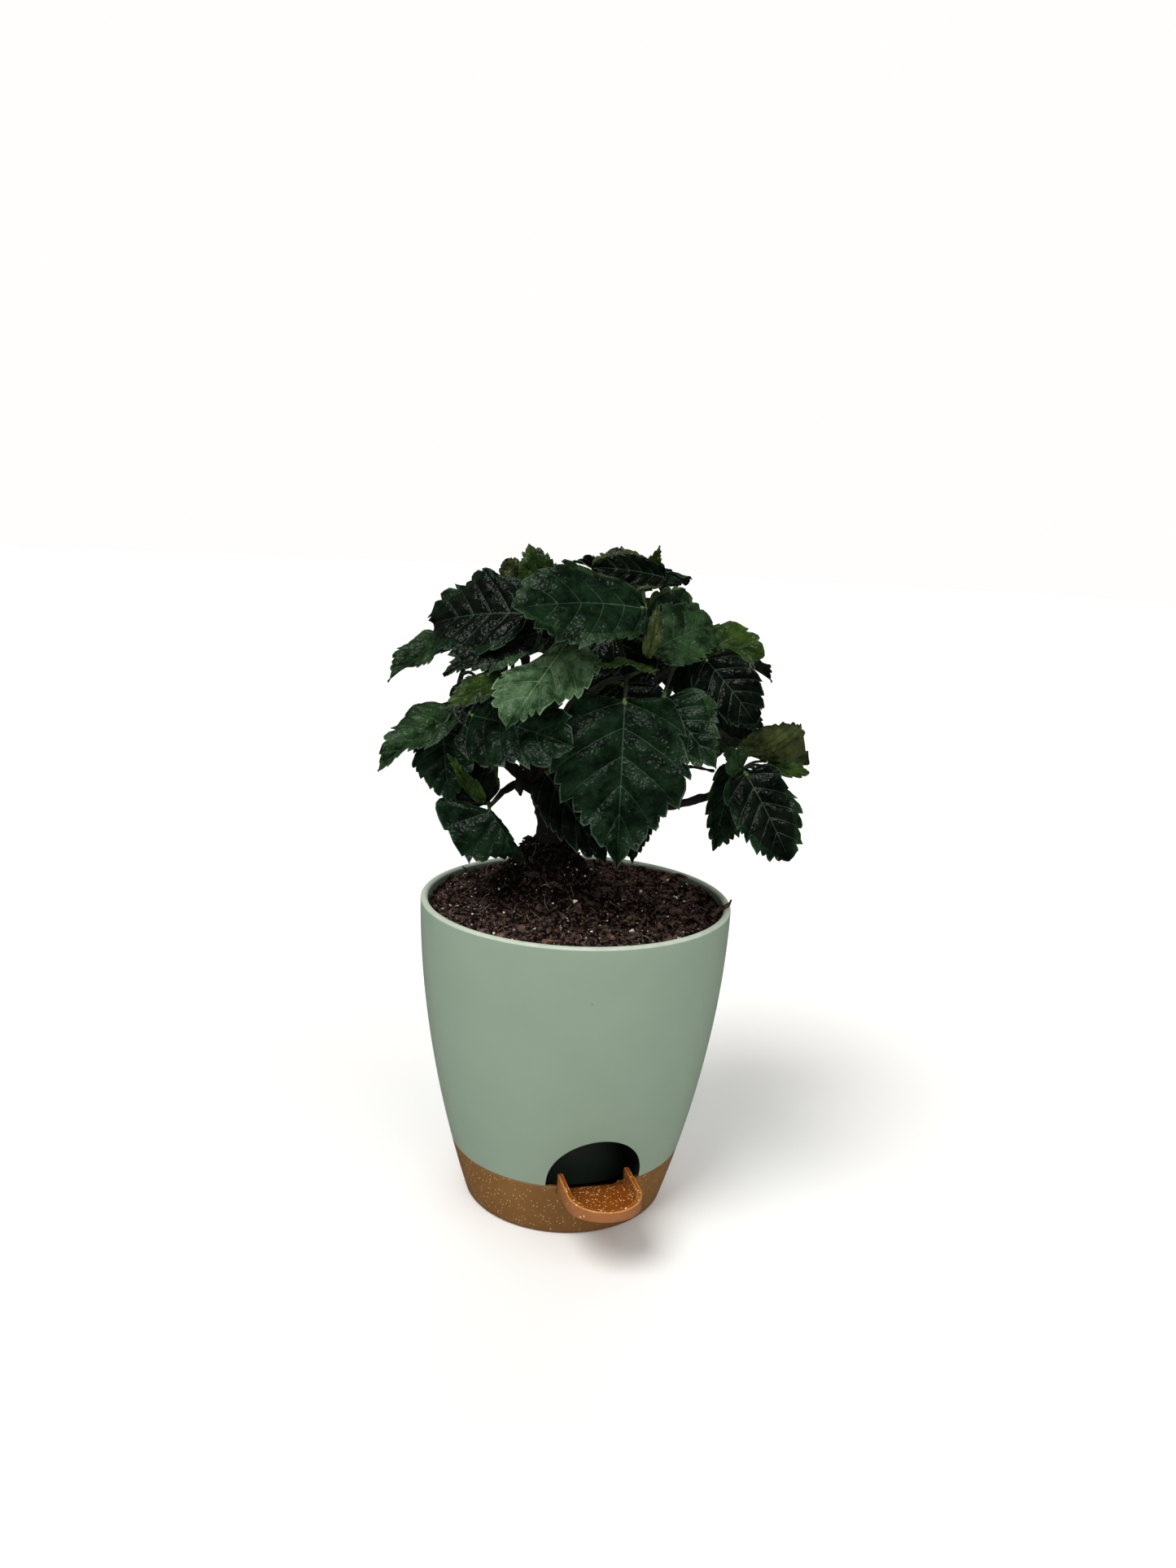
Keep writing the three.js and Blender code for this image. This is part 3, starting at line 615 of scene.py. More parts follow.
def patched(tree, place, dark, light, size, span, under_crown_shade=False, detail=4, roughness=0.5):
    """Two colours in patches of this many millimetres, and the noise that deals them out."""
    patches = add_node(tree, "ShaderNodeTexNoise", inputs={
        "Vector": place, "Scale": per_mm(size), "Detail": detail, "Roughness": roughness,
    })
    spread = add_node(tree, "ShaderNodeMapRange", inputs={
        "Value": patches.outputs["Fac"], "From Min": span[0], "From Max": span[1],
    })
    share = spread.outputs["Result"]
    mixed = add_node(tree, "ShaderNodeMix", {"data_type": "RGBA"}, {
        0: crown_shade_share(tree, place, share) if under_crown_shade else share,
        MIX_A: linear(dark), MIX_B: linear(light),
    })
    return mixed.outputs[MIX_RESULT], patches.outputs["Fac"]


# Peat is almost black with redder fibres, and round the stem's foot it is darkened further as painted
# shade of the crown
peat, tree, shader, place = new_material("peat_painted_crown_shade", Roughness=0.95)
shader.inputs["Specular IOR Level"].default_value = 0.15
earth, crumbs = patched(tree, place, "#040201", "#78594b", 1.7, (0.52, 0.62), True, roughness=0.75)
tree.links.new(earth, shader.inputs["Base Color"])
relief = add_node(tree, "ShaderNodeBump", inputs={
    "Height": crumbs, "Strength": 1.0, "Distance": 1.2 * MM,
})
tree.links.new(relief.outputs["Normal"], shader.inputs["Normal"])


def rough_matter(name, dark, light, size, roughness, under_crown_shade=False):
    """Bark, roots and grains: two close colours in patches of this many millimetres."""
    material, tree, shader, place = new_material(name, Roughness=roughness)
    colour, patches = patched(tree, place, dark, light, size, (0.36, 0.64), under_crown_shade)
    tree.links.new(colour, shader.inputs["Base Color"])
    relief = add_node(tree, "ShaderNodeBump", inputs={
        "Height": patches, "Strength": 0.6, "Distance": 0.4 * MM,
    })
    tree.links.new(relief.outputs["Normal"], shader.inputs["Normal"])
    return material


perlite = rough_matter("expanded_perlite", "#b9aca2", "#f4efe8", 0.8, 0.8)
# Crumbs and bark bits take the same painted shade round the stem's foot
peat_crumb = rough_matter("peat_crumb", "#030101", "#644c3f", 3.5, 0.95, under_crown_shade=True)
bark_chip = rough_matter("bark_chip", "#24160f", "#7c5a46", 2.5, 0.85, under_crown_shade=True)
dry_root = rough_matter("dry_root", "#3d3028", "#8a7c6e", 2, 0.8)

# %% Compost bed
RINGS = 74
AROUND = 220
bm = spin_profile([(COMPOST_RADIUS * i / RINGS, 0) for i in range(RINGS + 1)], AROUND)
rim_edges = [e for e in bm.edges if e.is_boundary]
for vert in bm.verts:
    vert.co.z = compost_level(vert.co.x, vert.co.y)
skirt = bmesh.ops.extrude_edge_only(bm, edges=rim_edges)
lowered = [item for item in skirt["geom"] if isinstance(item, bmesh.types.BMVert)]
for vert in lowered:
    vert.co.z = COMPOST_EDGE - SKIRT_DEPTH
bmesh.ops.holes_fill(bm, edges=[e for e in bm.edges if e.is_boundary], sides=0)
bmesh.ops.recalc_face_normals(bm, faces=bm.faces)
bmesh.ops.transform(bm, matrix=plant_frame, verts=bm.verts)
new_piece("compost_bed", bm, [peat], ["compost"], 0)

# %% Crumbs, grains and bark bits
def strewn_spot(draw, reach=COMPOST_RADIUS - 1.5):
    """An even draw of places over the compost."""
    bearing = draw() * math.tau
    away = math.sqrt(draw()) * reach
    x, y = away * math.cos(bearing), away * math.sin(bearing)
    return Vector((x, y, compost_level(x, y)))


def strew(bm, draw, spot, size, stretch, material_index):
    """One small knobbly lump: an icosphere squeezed and turned its own way."""
    lump = bmesh.new()
    made = bmesh.ops.create_icosphere(lump, subdivisions=1, radius=size / 2)
    turn = Matrix.Rotation(draw() * math.tau, 4, Vector((draw() - 0.5, draw() - 0.5, draw() + 0.1)))
    squeeze = Matrix.Diagonal((1 + stretch * draw(), 0.6 + 0.4 * draw(), 0.5 + 0.4 * draw(), 1))
    lift = Matrix.Translation(spot + Vector((0, 0, size * 0.12)))
    bmesh.ops.transform(lump, matrix=lift @ turn @ squeeze, verts=made["verts"])
    for vert in made["verts"]:
        vert.co += Vector((draw() - 0.5, draw() - 0.5, draw() - 0.5)) * size * 0.25
    for face in lump.faces:
        face.material_index = material_index
    gather(bm, lump)


LUMPS = (
    # how many, smallest and largest size, stretch, material: crumbs, perlite twice, bark
    (1700, 0.8, 3.4, 0.8, 0),
    (620, 0.3, 1.2, 0.3, 1),
    (24, 1.3, 2.6, 0.3, 1),
    (120, 1.0, 4.6, 1.6, 2),
)
FRONT_PERLITE = (
    # the largest white grains near the rim, by place and size
    (44.5, -35, 3.2), (25, -32, 2.6), (9.6, -49, 2.6), (-0.3, -19.5, 2.2),
)
draw = seeded(411)
bm = bmesh.new()
for count, smallest, largest, stretch, index in LUMPS:
    for _ in range(count):
        size = smallest + (largest - smallest) * draw() ** 3
        strew(bm, draw, strewn_spot(draw), size, stretch, index)
for x, y, size in FRONT_PERLITE:
    strew(bm, draw, Vector((x, y, compost_level(x, y))), size, 0.3, 1)
bmesh.ops.transform(bm, matrix=plant_frame, verts=bm.verts)
new_piece("compost_grains", bm, [peat_crumb, perlite, bark_chip], (), 40)

# %% [markdown]
# ## Tubes along a line
# Stem, boughs, shoots, stalks and roots are all one form: a round tube that tapers along a
# smooth line. The source draws that line as a centripetal Catmull-Rom curve, so it is
# written here again, and a ring of edges is extruded along it one step at a time. A curve
# object with a bevel would be quicker to set up, but its capped ends and the material of
# each stretch would then be hard to control.

# %% Lines
def catmull_rom(points, samples=200):
    """The source's smooth line through a few points, as many closely spaced points."""
    points = [Vector(p) for p in points]
    knots = [2 * points[0] - points[1], *points, 2 * points[-1] - points[-2]]
    line = []
    for i in range(samples + 1):
        at = i / samples * (len(points) - 1)
        k = min(int(at), len(points) - 2)
        a, b, c, d = knots[k:k + 4]
        spans = [max((q - p).length_squared ** 0.25, 1e-4) for p, q in ((a, b), (b, c), (c, d))]
        before = (b - a) / spans[0] - (c - a) / (spans[0] + spans[1]) + (c - b) / spans[1]
        after = (c - b) / spans[1] - (d - b) / (spans[1] + spans[2]) + (d - c) / spans[2]
        before, after = before * spans[1], after * spans[1]
        t = at - k
        bend = (-3 * b + 3 * c - 2 * before - after) * t**2 + (2 * b - 2 * c + before + after) * t**3
        line.append(b + before * t + bend)
    return line


def walked(line):
    """How far along its own length each point of a line lies, from 0 to 1."""
    lengths = [0.0]
    for p, q in zip(line, line[1:]):
        lengths.append(lengths[-1] + (q - p).length)
    return [length / lengths[-1] for length in lengths], lengths[-1]


def along_line(line, t):
    """The point and the direction at a share t of the line's length."""
    shares, _ = walked(line)
    k = next((i for i in range(len(line) - 1) if shares[i + 1] >= t), len(line) - 2)
    span = max(shares[k + 1] - shares[k], 1e-9)
    spot = line[k].lerp(line[k + 1], (t - shares[k]) / span)
    return spot, (line[k + 1] - line[k]).normalized()


def rings_along(line, steps):
    """Evenly walked points with their directions, found in one pass."""
    shares, _ = walked(line)
    found, k = [], 0
    for i in range(steps + 1):
        t = i / steps
        while k < len(line) - 2 and shares[k + 1] < t:
            k += 1
        span = max(shares[k + 1] - shares[k], 1e-9)
        before, after = line[max(k - 1, 0)], line[min(k + 2, len(line) - 1)]
        found.append((line[k].lerp(line[k + 1], (t - shares[k]) / span), (after - before).normalized()))
    return found


# %% Tubes
def tube(bm, line, radius_at, sides, steps, material_at=lambda t: 0):
    """A closed tube along a line: a ring of edges is extruded step by step and capped."""
    rings = rings_along(line, steps)
    across = rings[0][1].orthogonal()
    frames = []
    for spot, heading in rings:
        across = (across - heading * across.dot(heading)).normalized()
        turn = Matrix((across, heading.cross(across), heading)).transposed().to_4x4()
        t = len(frames) / steps
        frames.append(Matrix.Translation(spot) @ turn @ Matrix.Scale(radius_at(t), 4))
    part = bmesh.new()
    made = bmesh.ops.create_circle(part, cap_ends=False, radius=1, segments=sides)
    ring = list(part.edges)
    bmesh.ops.transform(part, matrix=frames[0], verts=made["verts"])
    bmesh.ops.edgeloop_fill(part, edges=ring)
    for k in range(1, steps + 1):
        grown = bmesh.ops.extrude_edge_only(part, edges=ring)["geom"]
        moved = [item for item in grown if isinstance(item, bmesh.types.BMVert)]
        ring = [item for item in grown if isinstance(item, bmesh.types.BMEdge)]
        walls = [item for item in grown if isinstance(item, bmesh.types.BMFace)]
        for face in walls:
            face.material_index = material_at((k - 0.5) / steps)
        bmesh.ops.transform(part, matrix=frames[k] @ frames[k - 1].inverted(), verts=moved)
    bmesh.ops.edgeloop_fill(part, edges=ring)
    bmesh.ops.recalc_face_normals(part, faces=part.faces)
    gather(bm, part)


# %% [markdown]
# ## Fibres and bits of bark
# Fine dry roots lie over the compost, and a few bits of bark stand up against the rim. Both
# are thin tubes. The roots wander, so a seeded draw bends each of them its own way, while
# the bits at the rim break the planter's outline and are set one by one.

# %% Fibres on the compost
FIBRES = 170
FIBRE_RADIUS = 0.17
RIM_CHIPS = (
    # bits of peaty bark that lean over the edge: line, thickness at the foot and at the tip
    ([(61, -9, 137.5), (64.5, -8.5, 141), (66.5, -8, 141.6), (68.5, -8, 143.4)], 2.4, 2.0),
    ([(66, -8, 141.5), (68, -8, 142.4), (69.5, -8, 145.6)], 2.0, 0.7),
    ([(27, 53, 139), (23, 53, 142), (20, 52, 144.5)], 1.8, 0.8),
    ([(44, 45, 139), (49, 41, 141.5), (53, 37, 141.5)], 2.2, 1.6),
    ([(-52, 30, 139), (-53, 30, 142), (-55, 29, 144)], 1.4, 0.6),
)


def fibre(bm, draw):
    """A fine dry root that wanders over the crumbs and rises clear of them here and there."""
    points = [strewn_spot(draw, COMPOST_RADIUS - 6)]
    heading = draw() * math.tau
    step = 0.8 + 2.8 * draw() ** 2
    slim = FIBRE_RADIUS * (0.6 + 0.8 * draw())
    for rise in (0.9, 1.2, 0.9, 0.1):
        heading += (draw() - 0.5) * 1.8
        x = points[-1].x + step * math.cos(heading)
        y = points[-1].y + step * math.sin(heading)
        points.append(Vector((x, y, compost_level(x, y) + rise * draw())))
    if all(math.hypot(p.x, p.y) < COMPOST_RADIUS - 1 for p in points):
        tube(bm, catmull_rom(points, 30), lambda t: slim * (1 - 0.6 * t), sides=4, steps=9)


draw = seeded(58)
bm = bmesh.new()
for _ in range(FIBRES):
    fibre(bm, draw)
for points, foot, tip in RIM_CHIPS:
    tube(
        bm, catmull_rom(points, 40), lambda t: (foot + (tip - foot) * t) / 2,
        sides=6, steps=10, material_at=lambda t: 1,
    )
bmesh.ops.transform(bm, matrix=plant_frame, verts=bm.verts)
new_piece("compost_fibres", bm, [dry_root, peat_crumb], (), 0)

# %% [markdown]
# ## Stem and boughs
# Young hibiscus bark is thin, grey brown and finely furrowed, with paler breathing pores and
# a swollen ring wherever a leaf once stood. The rings are wide enough to show in outline,
# so the tube's radius swells there and noise roughens its surface. The furrows are finer
# than that, so a bump texture draws them. The bark stands in the shade of the crown, and its
# colours are painted nearly black: painted shade.

# %% Bark
bark, tree, shader, place = new_material("hibiscus_bark", Roughness=0.82)
shader.inputs["Specular IOR Level"].default_value = 0.3
furrows = add_node(tree, "ShaderNodeTexNoise", inputs={
    "Vector": place, "Scale": per_mm(2.2), "Detail": 5, "Roughness": 0.65,
})
# Both bark colours are near black: painted shade of the crown
ridges = add_node(tree, "ShaderNodeMix", {"data_type": "RGBA"}, {
    0: furrows.outputs["Fac"], MIX_A: linear("#070504"), MIX_B: linear("#281f1a"),
})
brown = ridges.outputs[MIX_RESULT]
pores = speckled(tree, place, brown, linear("#4a4037"), 2.4, share=0.25, radius=0.2)
tree.links.new(pores, shader.inputs["Base Color"])
relief = add_node(tree, "ShaderNodeBump", inputs={
    "Height": furrows.outputs["Fac"], "Strength": 0.7, "Distance": 0.5 * MM,
})
tree.links.new(relief.outputs["Normal"], shader.inputs["Normal"])

# %% Stem and boughs
STEM = {
    "through": [(-14, 4, STEM_SEAT + SEAT), (-14, 4, 174), (-17, 4, 184), (-21, 3, 195)],
    "root": 5.4, "tip": 4.2, "flare": 3,
}
BOUGHS = {
    # line, radius at the foot and at the tip
    "bough_leader": ([(-22, 3, 192), (-13, 5, 214), (1, 4, 238), (13, 1, 258)], 3.4, 2.2),
    "bough_left_top": ([(-22, 2, 192), (-23, -3, 214), (-25, -8, 238), (-28, -8, 256)], 2.8, 1.9),
    "bough_left": ([(-21, 3, 190), (-36, 1, 203), (-48, -2, 214), (-54, -4, 224)], 2.8, 1.8),
    "bough_low_left": ([(-21, 3, 188), (-28, -5, 193), (-34, -14, 191)], 2, 1.5),
    "bough_front": ([(-20, 3, 190), (-14, -11, 206), (-5, -20, 224), (3, -25, 238)], 2.8, 1.9),
    "bough_low_front": ([(-17, 3, 184), (-8, -7, 191), (-1, -13, 198)], 2.2, 1.6),
    "bough_right_top": ([(-19, 3, 186), (0, 10, 208), (22, 6, 232), (36, -2, 246)], 2.8, 1.9),
    "bough_right": ([(-18, 3, 183), (10, -3, 193), (38, -8, 206), (58, -6, 219)], 2.3, 1.5),
    "bough_low_right": ([(-14, 4, 176), (12, -8, 184), (38, -13, 188), (58, -12, 194)], 2.3, 1.7),
    "bough_back_left": ([(-20, 4, 187), (-29, 18, 206), (-36, 30, 224)], 2.6, 1.8),
    "bough_back": ([(-18, 5, 185), (-8, 26, 208), (0, 38, 234)], 2.8, 1.9),
    "bough_back_right": ([(-16, 5, 181), (12, 22, 200), (34, 32, 222)], 2.6, 1.8),
    "bough_back_low": ([(-13, 6, 178), (-4, 22, 186), (2, 34, 196)], 2.2, 1.6),
}
TWIGS = (
    # dead side twigs without a mass of their own: line, radius at the foot and at the tip
    ([(38, -9, 205), (45, -13, 208.5), (52, -14, 211)], 0.9, 0.5),
    ([(40, -9, 204), (47, -13, 206), (57, -15, 205)], 0.9, 0.6),
    ([(-23, -2, 203), (-26, -10, 203), (-27, -14, 198)], 0.5, 0.4),
)
DRY_BUD = [(-27, -14, 199), (-27, -15, 195), (-26, -15, 190)]
NODE_SPACING = 13  # between the swollen rings where old leaves stood
ROUGHNESS_DEPTH = 0.5
ROUGHNESS_SIZE = 2.5


def limb_radius(root, tip, length, flare=0.0):
    """A tapering radius with a slight swelling at each old leaf's scar."""
    def radius(t):
        scar = abs((t * length / NODE_SPACING) % 1 - 0.5)
        swelling = 0.13 * math.exp(-((scar / 0.09) ** 2))
        return (root + (tip - root) * t) * (1 + swelling) + flare * math.exp(-t * 7)
    return radius


def bud_radius(t):
    return 0.4 + 1.7 * math.sin(math.pi * t) ** 0.8


def roughen(verts, depth, size):
    """Pushes each vertex in or out a little, for bark that shows in outline."""
    for vert in verts:
        vert.co += vert.normal * depth * noise.noise(vert.co / size)


bm = bmesh.new()
stem_line = catmull_rom([(-14, 4, STEM_SEAT - 6), *STEM["through"]])
stem_radius = limb_radius(STEM["root"], STEM["tip"], 35, STEM["flare"])
tube(bm, stem_line, stem_radius, sides=24, steps=60)
bough_lines = {}
for name, (through, root, tip) in BOUGHS.items():
    bough_lines[name] = catmull_rom(through)
    length = walked(bough_lines[name])[1]
    steps = max(12, int(length))
    tube(bm, bough_lines[name], limb_radius(root, tip, length), sides=14, steps=steps)
for through, root, tip in TWIGS:
    tube(bm, catmull_rom(through, 60), limb_radius(root, tip, length=20), sides=8, steps=16)
tube(bm, catmull_rom(DRY_BUD, 40), bud_radius, sides=10, steps=14)
bm.normal_update()
roughen(bm.verts, ROUGHNESS_DEPTH, ROUGHNESS_SIZE)
limb_tree = BVHTree.FromBMesh(bm)
bmesh.ops.transform(bm, matrix=plant_frame, verts=bm.verts)
new_piece("bark_limbs", bm, [bark], ["stem", *BOUGHS], 0)

# %% [markdown]
# ## Leaf colours
# A hibiscus leaf is waxed: dark green with a soft gloss above, paler and matt beneath.
# Inner and low leaves take the near-black shade tone, painted shade; young tips are lime, a few olive.
# Each leaf takes one plain base colour by its place on the plant, and some have another at
# the rim. Patches and the fine net of cells between the veins have no fixed place, so noise
# and a cell texture draw them.

# %% Leaf materials
PATCH_SIZE = 9  # millimetres across a lighter patch
NET_SIZE = 2.2  # between the finest veins
PUCKER_SIZE = 3.4  # between the swellings that the veins leave
PUCKER_DEPTH = 1.3


def leaf_surface(name, colour, patch, roughness, shine, relief_depth):
    """A leaf's skin: patches of colour, the finest veins and the swellings between them."""
    material, tree, shader, place = new_material(name, Roughness=roughness)
    shader.inputs["Specular IOR Level"].default_value = shine
    green, _ = patched(tree, place, colour, patch, PATCH_SIZE, (0.4, 0.66), detail=6, roughness=0.68)
    tree.links.new(green, shader.inputs["Base Color"])
    net = add_node(tree, "ShaderNodeTexVoronoi", {"feature": "DISTANCE_TO_EDGE"}, {
        "Vector": place, "Scale": per_mm(NET_SIZE),
    })
    furrow = add_node(tree, "ShaderNodeMapRange", inputs={
        "Value": net.outputs["Distance"], "From Min": 0.0, "From Max": 0.3, "To Max": 0.12,
    })
    puckers = add_node(tree, "ShaderNodeTexNoise", inputs={
        "Vector": place, "Scale": per_mm(PUCKER_SIZE), "Detail": 2.2,
    })
    height = add_node(tree, "ShaderNodeMath", {"operation": "ADD"}, {
        0: furrow.outputs["Result"], 1: puckers.outputs["Fac"],
    })
    relief = add_node(tree, "ShaderNodeBump", inputs={
        "Height": height.outputs[0], "Strength": relief_depth, "Distance": PUCKER_DEPTH * MM,
    })
    tree.links.new(relief.outputs["Normal"], shader.inputs["Normal"])
    return material


TONES = {
    # base colour, colour of its lighter patches
    # shade is painted shade: the near-black of leaves inside and under the crown
    "shade": ("#020502", "#0e170d"),
    "deep": ("#030f05", "#162c18"),
    "leaf": ("#081606", "#2d4727"),
    "fresh": ("#1d331a", "#577350"),
    "young": ("#152608", "#374c18"),
    "olive": ("#161e0c", "#465029"),
}
leaf_materials = [
    leaf_surface(f"waxed_leaf_{tone}", base, patch, 0.3, 0.14, 0.95)
    for tone, (base, patch) in TONES.items()
]
VEINS = {
    "plain": ("#25382a", "#425845"),
    "pale": ("#587350", "#7f9a76"),
    "dark": ("#10160a", "#232b14"),
}
VEIN_SLOTS = {kind: len(leaf_materials) + i for i, kind in enumerate(VEINS)}
VEIN_OF = {"fresh": "pale", "olive": "dark"}  # the other tones have plain veins
leaf_materials += [
    leaf_surface(f"{kind}_leaf_vein", base, patch, 0.5, 0.2, 0.1)
    for kind, (base, patch) in VEINS.items()
]
UNDERSIDE_SLOT = len(leaf_materials)
leaf_materials.append(leaf_surface("leaf_underside", "#0f190d", "#222f1b", 0.6, 0.12, 0.9))
TONE_SLOTS = {tone: slot for slot, tone in enumerate(TONES)}

# %% [markdown]
# ## One leaf
# Each blade starts as a flat grid whose rows run from the midrib out to the margin, along
# the side veins, as they do on the real leaf: the first ones fan out from the stalk and
# the rest leave the midrib in pairs. A vein ends in a tooth, so moving the ends of the rows
# makes the toothed outline, and the narrow rows that are the veins get their own colour.
# A picture of a leaf on a card would be lighter, but it has no true edge and no relief.

# %% The flat pattern of a blade
LARGE_VEINS = (
    # where each vein starts up the midrib, and where it ends up the margin
    (0.0, 0.07), (0.012, 0.24), (0.17, 0.42), (0.34, 0.58), (0.51, 0.73), (0.68, 0.86),
)
SMALL_VEINS = ((0.0, 0.13), (0.02, 0.36), (0.3, 0.62), (0.58, 0.83))
MARGIN = (
    # share of the way to the next vein, how far out where a second tooth stands between
    # the veins and where none does, how far forward
    (0.06, -0.7, -0.5, 0.1), (0.2, -0.05, 0.1, 0.0), (0.34, 0.4, 0.45, 0.25), (0.46, 0.6, 0.7, 0.5),
    (0.53, -0.35, 0.8, 0.3), (0.68, 0.25, 0.95, 0.3), (0.85, 0.75, 1.05, 0.5),
)
TWIN_TEETH = 0.45  # share of the gaps that have the second tooth
COLUMNS = (0.0, 0.12, 0.24, 0.36, 0.48, 0.6, 0.72, 0.82, 0.91, 0.982, 1.0)
RIM_FROM = 0.8  # the share of the half width where the rim's colour starts
LARGE_LEAF = 30  # from this length on a leaf has the large pattern of veins
VEIN_HALF = 0.17  # half the width of a vein, in millimetres
RIB_HALF = 0.26  # the same for the midrib
VEIN_SINK = 0.2  # how deep both lie in the blade, in millimetres
TOOTH_SHARE = 0.066  # of half the blade's length and width together
FOLD_EASE = 0.55  # how much a folded half flattens again towards its margin
PUCKER_SHARE = 0.022  # of the length
SWELL_SHARE = 0.032  # of the length, between two veins


def blade_rows(veins):
    """(midrib, margin, out, forward, side of a vein, bulge, gap) for each row of the grid."""
    rows = [(0.0, 0.0, (0.0, 0.0), 0.0, 0, 0.0, 0)]
    ends = [*veins, (1.0, 1.0)]
    for gap, ((start, end), (next_start, next_end)) in enumerate(zip(ends, ends[1:])):
        rows.append((start, end, (1.0, 1.0), 0.8, -1, 0.0, gap))
        rows.append((start, end, (1.0, 1.0), 0.8, 1, 0.0, gap))
        for share, twin, single, forward in MARGIN:
            rows.append((
                start + (next_start - start) * share, end + (next_end - end) * share,
                (twin, single), forward, 0, math.sin(math.pi * share), gap,
            ))
    rows.append((1.0, 1.0, (0.0, 0.0), 0.0, 0, 0.0, len(veins) - 1))
    return rows


LARGE_ROWS = blade_rows(LARGE_VEINS)
SMALL_ROWS = blade_rows(SMALL_VEINS)
print("rows of a large and of a small blade:", len(LARGE_ROWS), len(SMALL_ROWS))


def outline(t, rise, taper, belly, waist):
    """Half width of a blade as a share of its widest, drawn in past its side lobes."""
    t = min(max(t, 0.0), 1.0)
    widest = rise / (rise + taper * belly)
    full = t**rise * (1 - t**belly) ** taper
    full /= widest ** (rise / belly) * (1 - widest) ** taper
    return full * (1 - waist * math.exp(-(((t - 0.68) / 0.11) ** 2)))


def halves(value):
    """A leaf's value for its left half (-1) and its right half (1), which may differ."""
    left, right = value if isinstance(value, tuple) else (value, value)
    return {-1: left, 1: right}


def leaf(start, end, tone="deep", wide=0.8, taper=1.25, arch=0.07, looks=(0, -1, 0.45), **more):
    """One blade: where its foot and tip stand, and how it lies.

    wide is its width as a share of its length, arch how far its midrib bows, and looks where
    its upper face turns. taper, rise, belly and waist shape the outline. lobe draws the
    shoulders back past the stalk, fold lifts the halves by degrees, wave frills the margin,
    ribs swells the blade between its veins, and rim is the tone along the margin. A pair of
    numbers gives the left and the right half their own values.
    """
    made = {"start": Vector(start), "end": Vector(end), "tone": tone, "wide": wide}
    made.update({"taper": taper, "arch": arch, "looks": Vector(looks)})
    made.update({"fold": 14, "wave": 0.035, "lobe": 0.07, "rim": tone})
    made.update({"rise": 0.5, "belly": 1.35, "waist": 0.08, "ribs": 1.0, **more})
    return made


def leaf_frame(item):
    """The blade's own axes: along the midrib, up from its face, and to its right side."""
    along = item["end"] - item["start"]
    length = along.length
    along.normalize()
    up = item["looks"] - along * item["looks"].dot(along)
    up.normalize()
    return along, length, up, along.cross(up)


# %% Tones of one blade
ACROSS = [-c for c in reversed(COLUMNS)] + list(COLUMNS)
MIDDLE = len(COLUMNS)


def colour_blade(bm, item, rows, place_of):
    """Veins, midrib and margin take the vein's tone, and the rim may have one of its own."""
    tone, rim = TONE_SLOTS[item["tone"]], TONE_SLOTS[item["rim"]]
    vein = VEIN_SLOTS[VEIN_OF.get(item["tone"], "plain")]
    for face in bm.faces:
        spots = [place_of[vert] for vert in face.verts]
        low, high = min(r for _, r in spots), max(r for _, r in spots)
        left, right_column = min(c for c, _ in spots), max(c for c, _ in spots)
        on_vein = rows[low][4] == -1 and rows[high][4] == 1
        on_rib = left == MIDDLE - 1 and right_column == MIDDLE
        at_margin = left == 0 or right_column == len(ACROSS) - 1
        outer = min(abs(ACROSS[left]), abs(ACROSS[right_column])) >= RIM_FROM
        face.material_index = vein if on_vein or on_rib or at_margin else rim if outer else tone


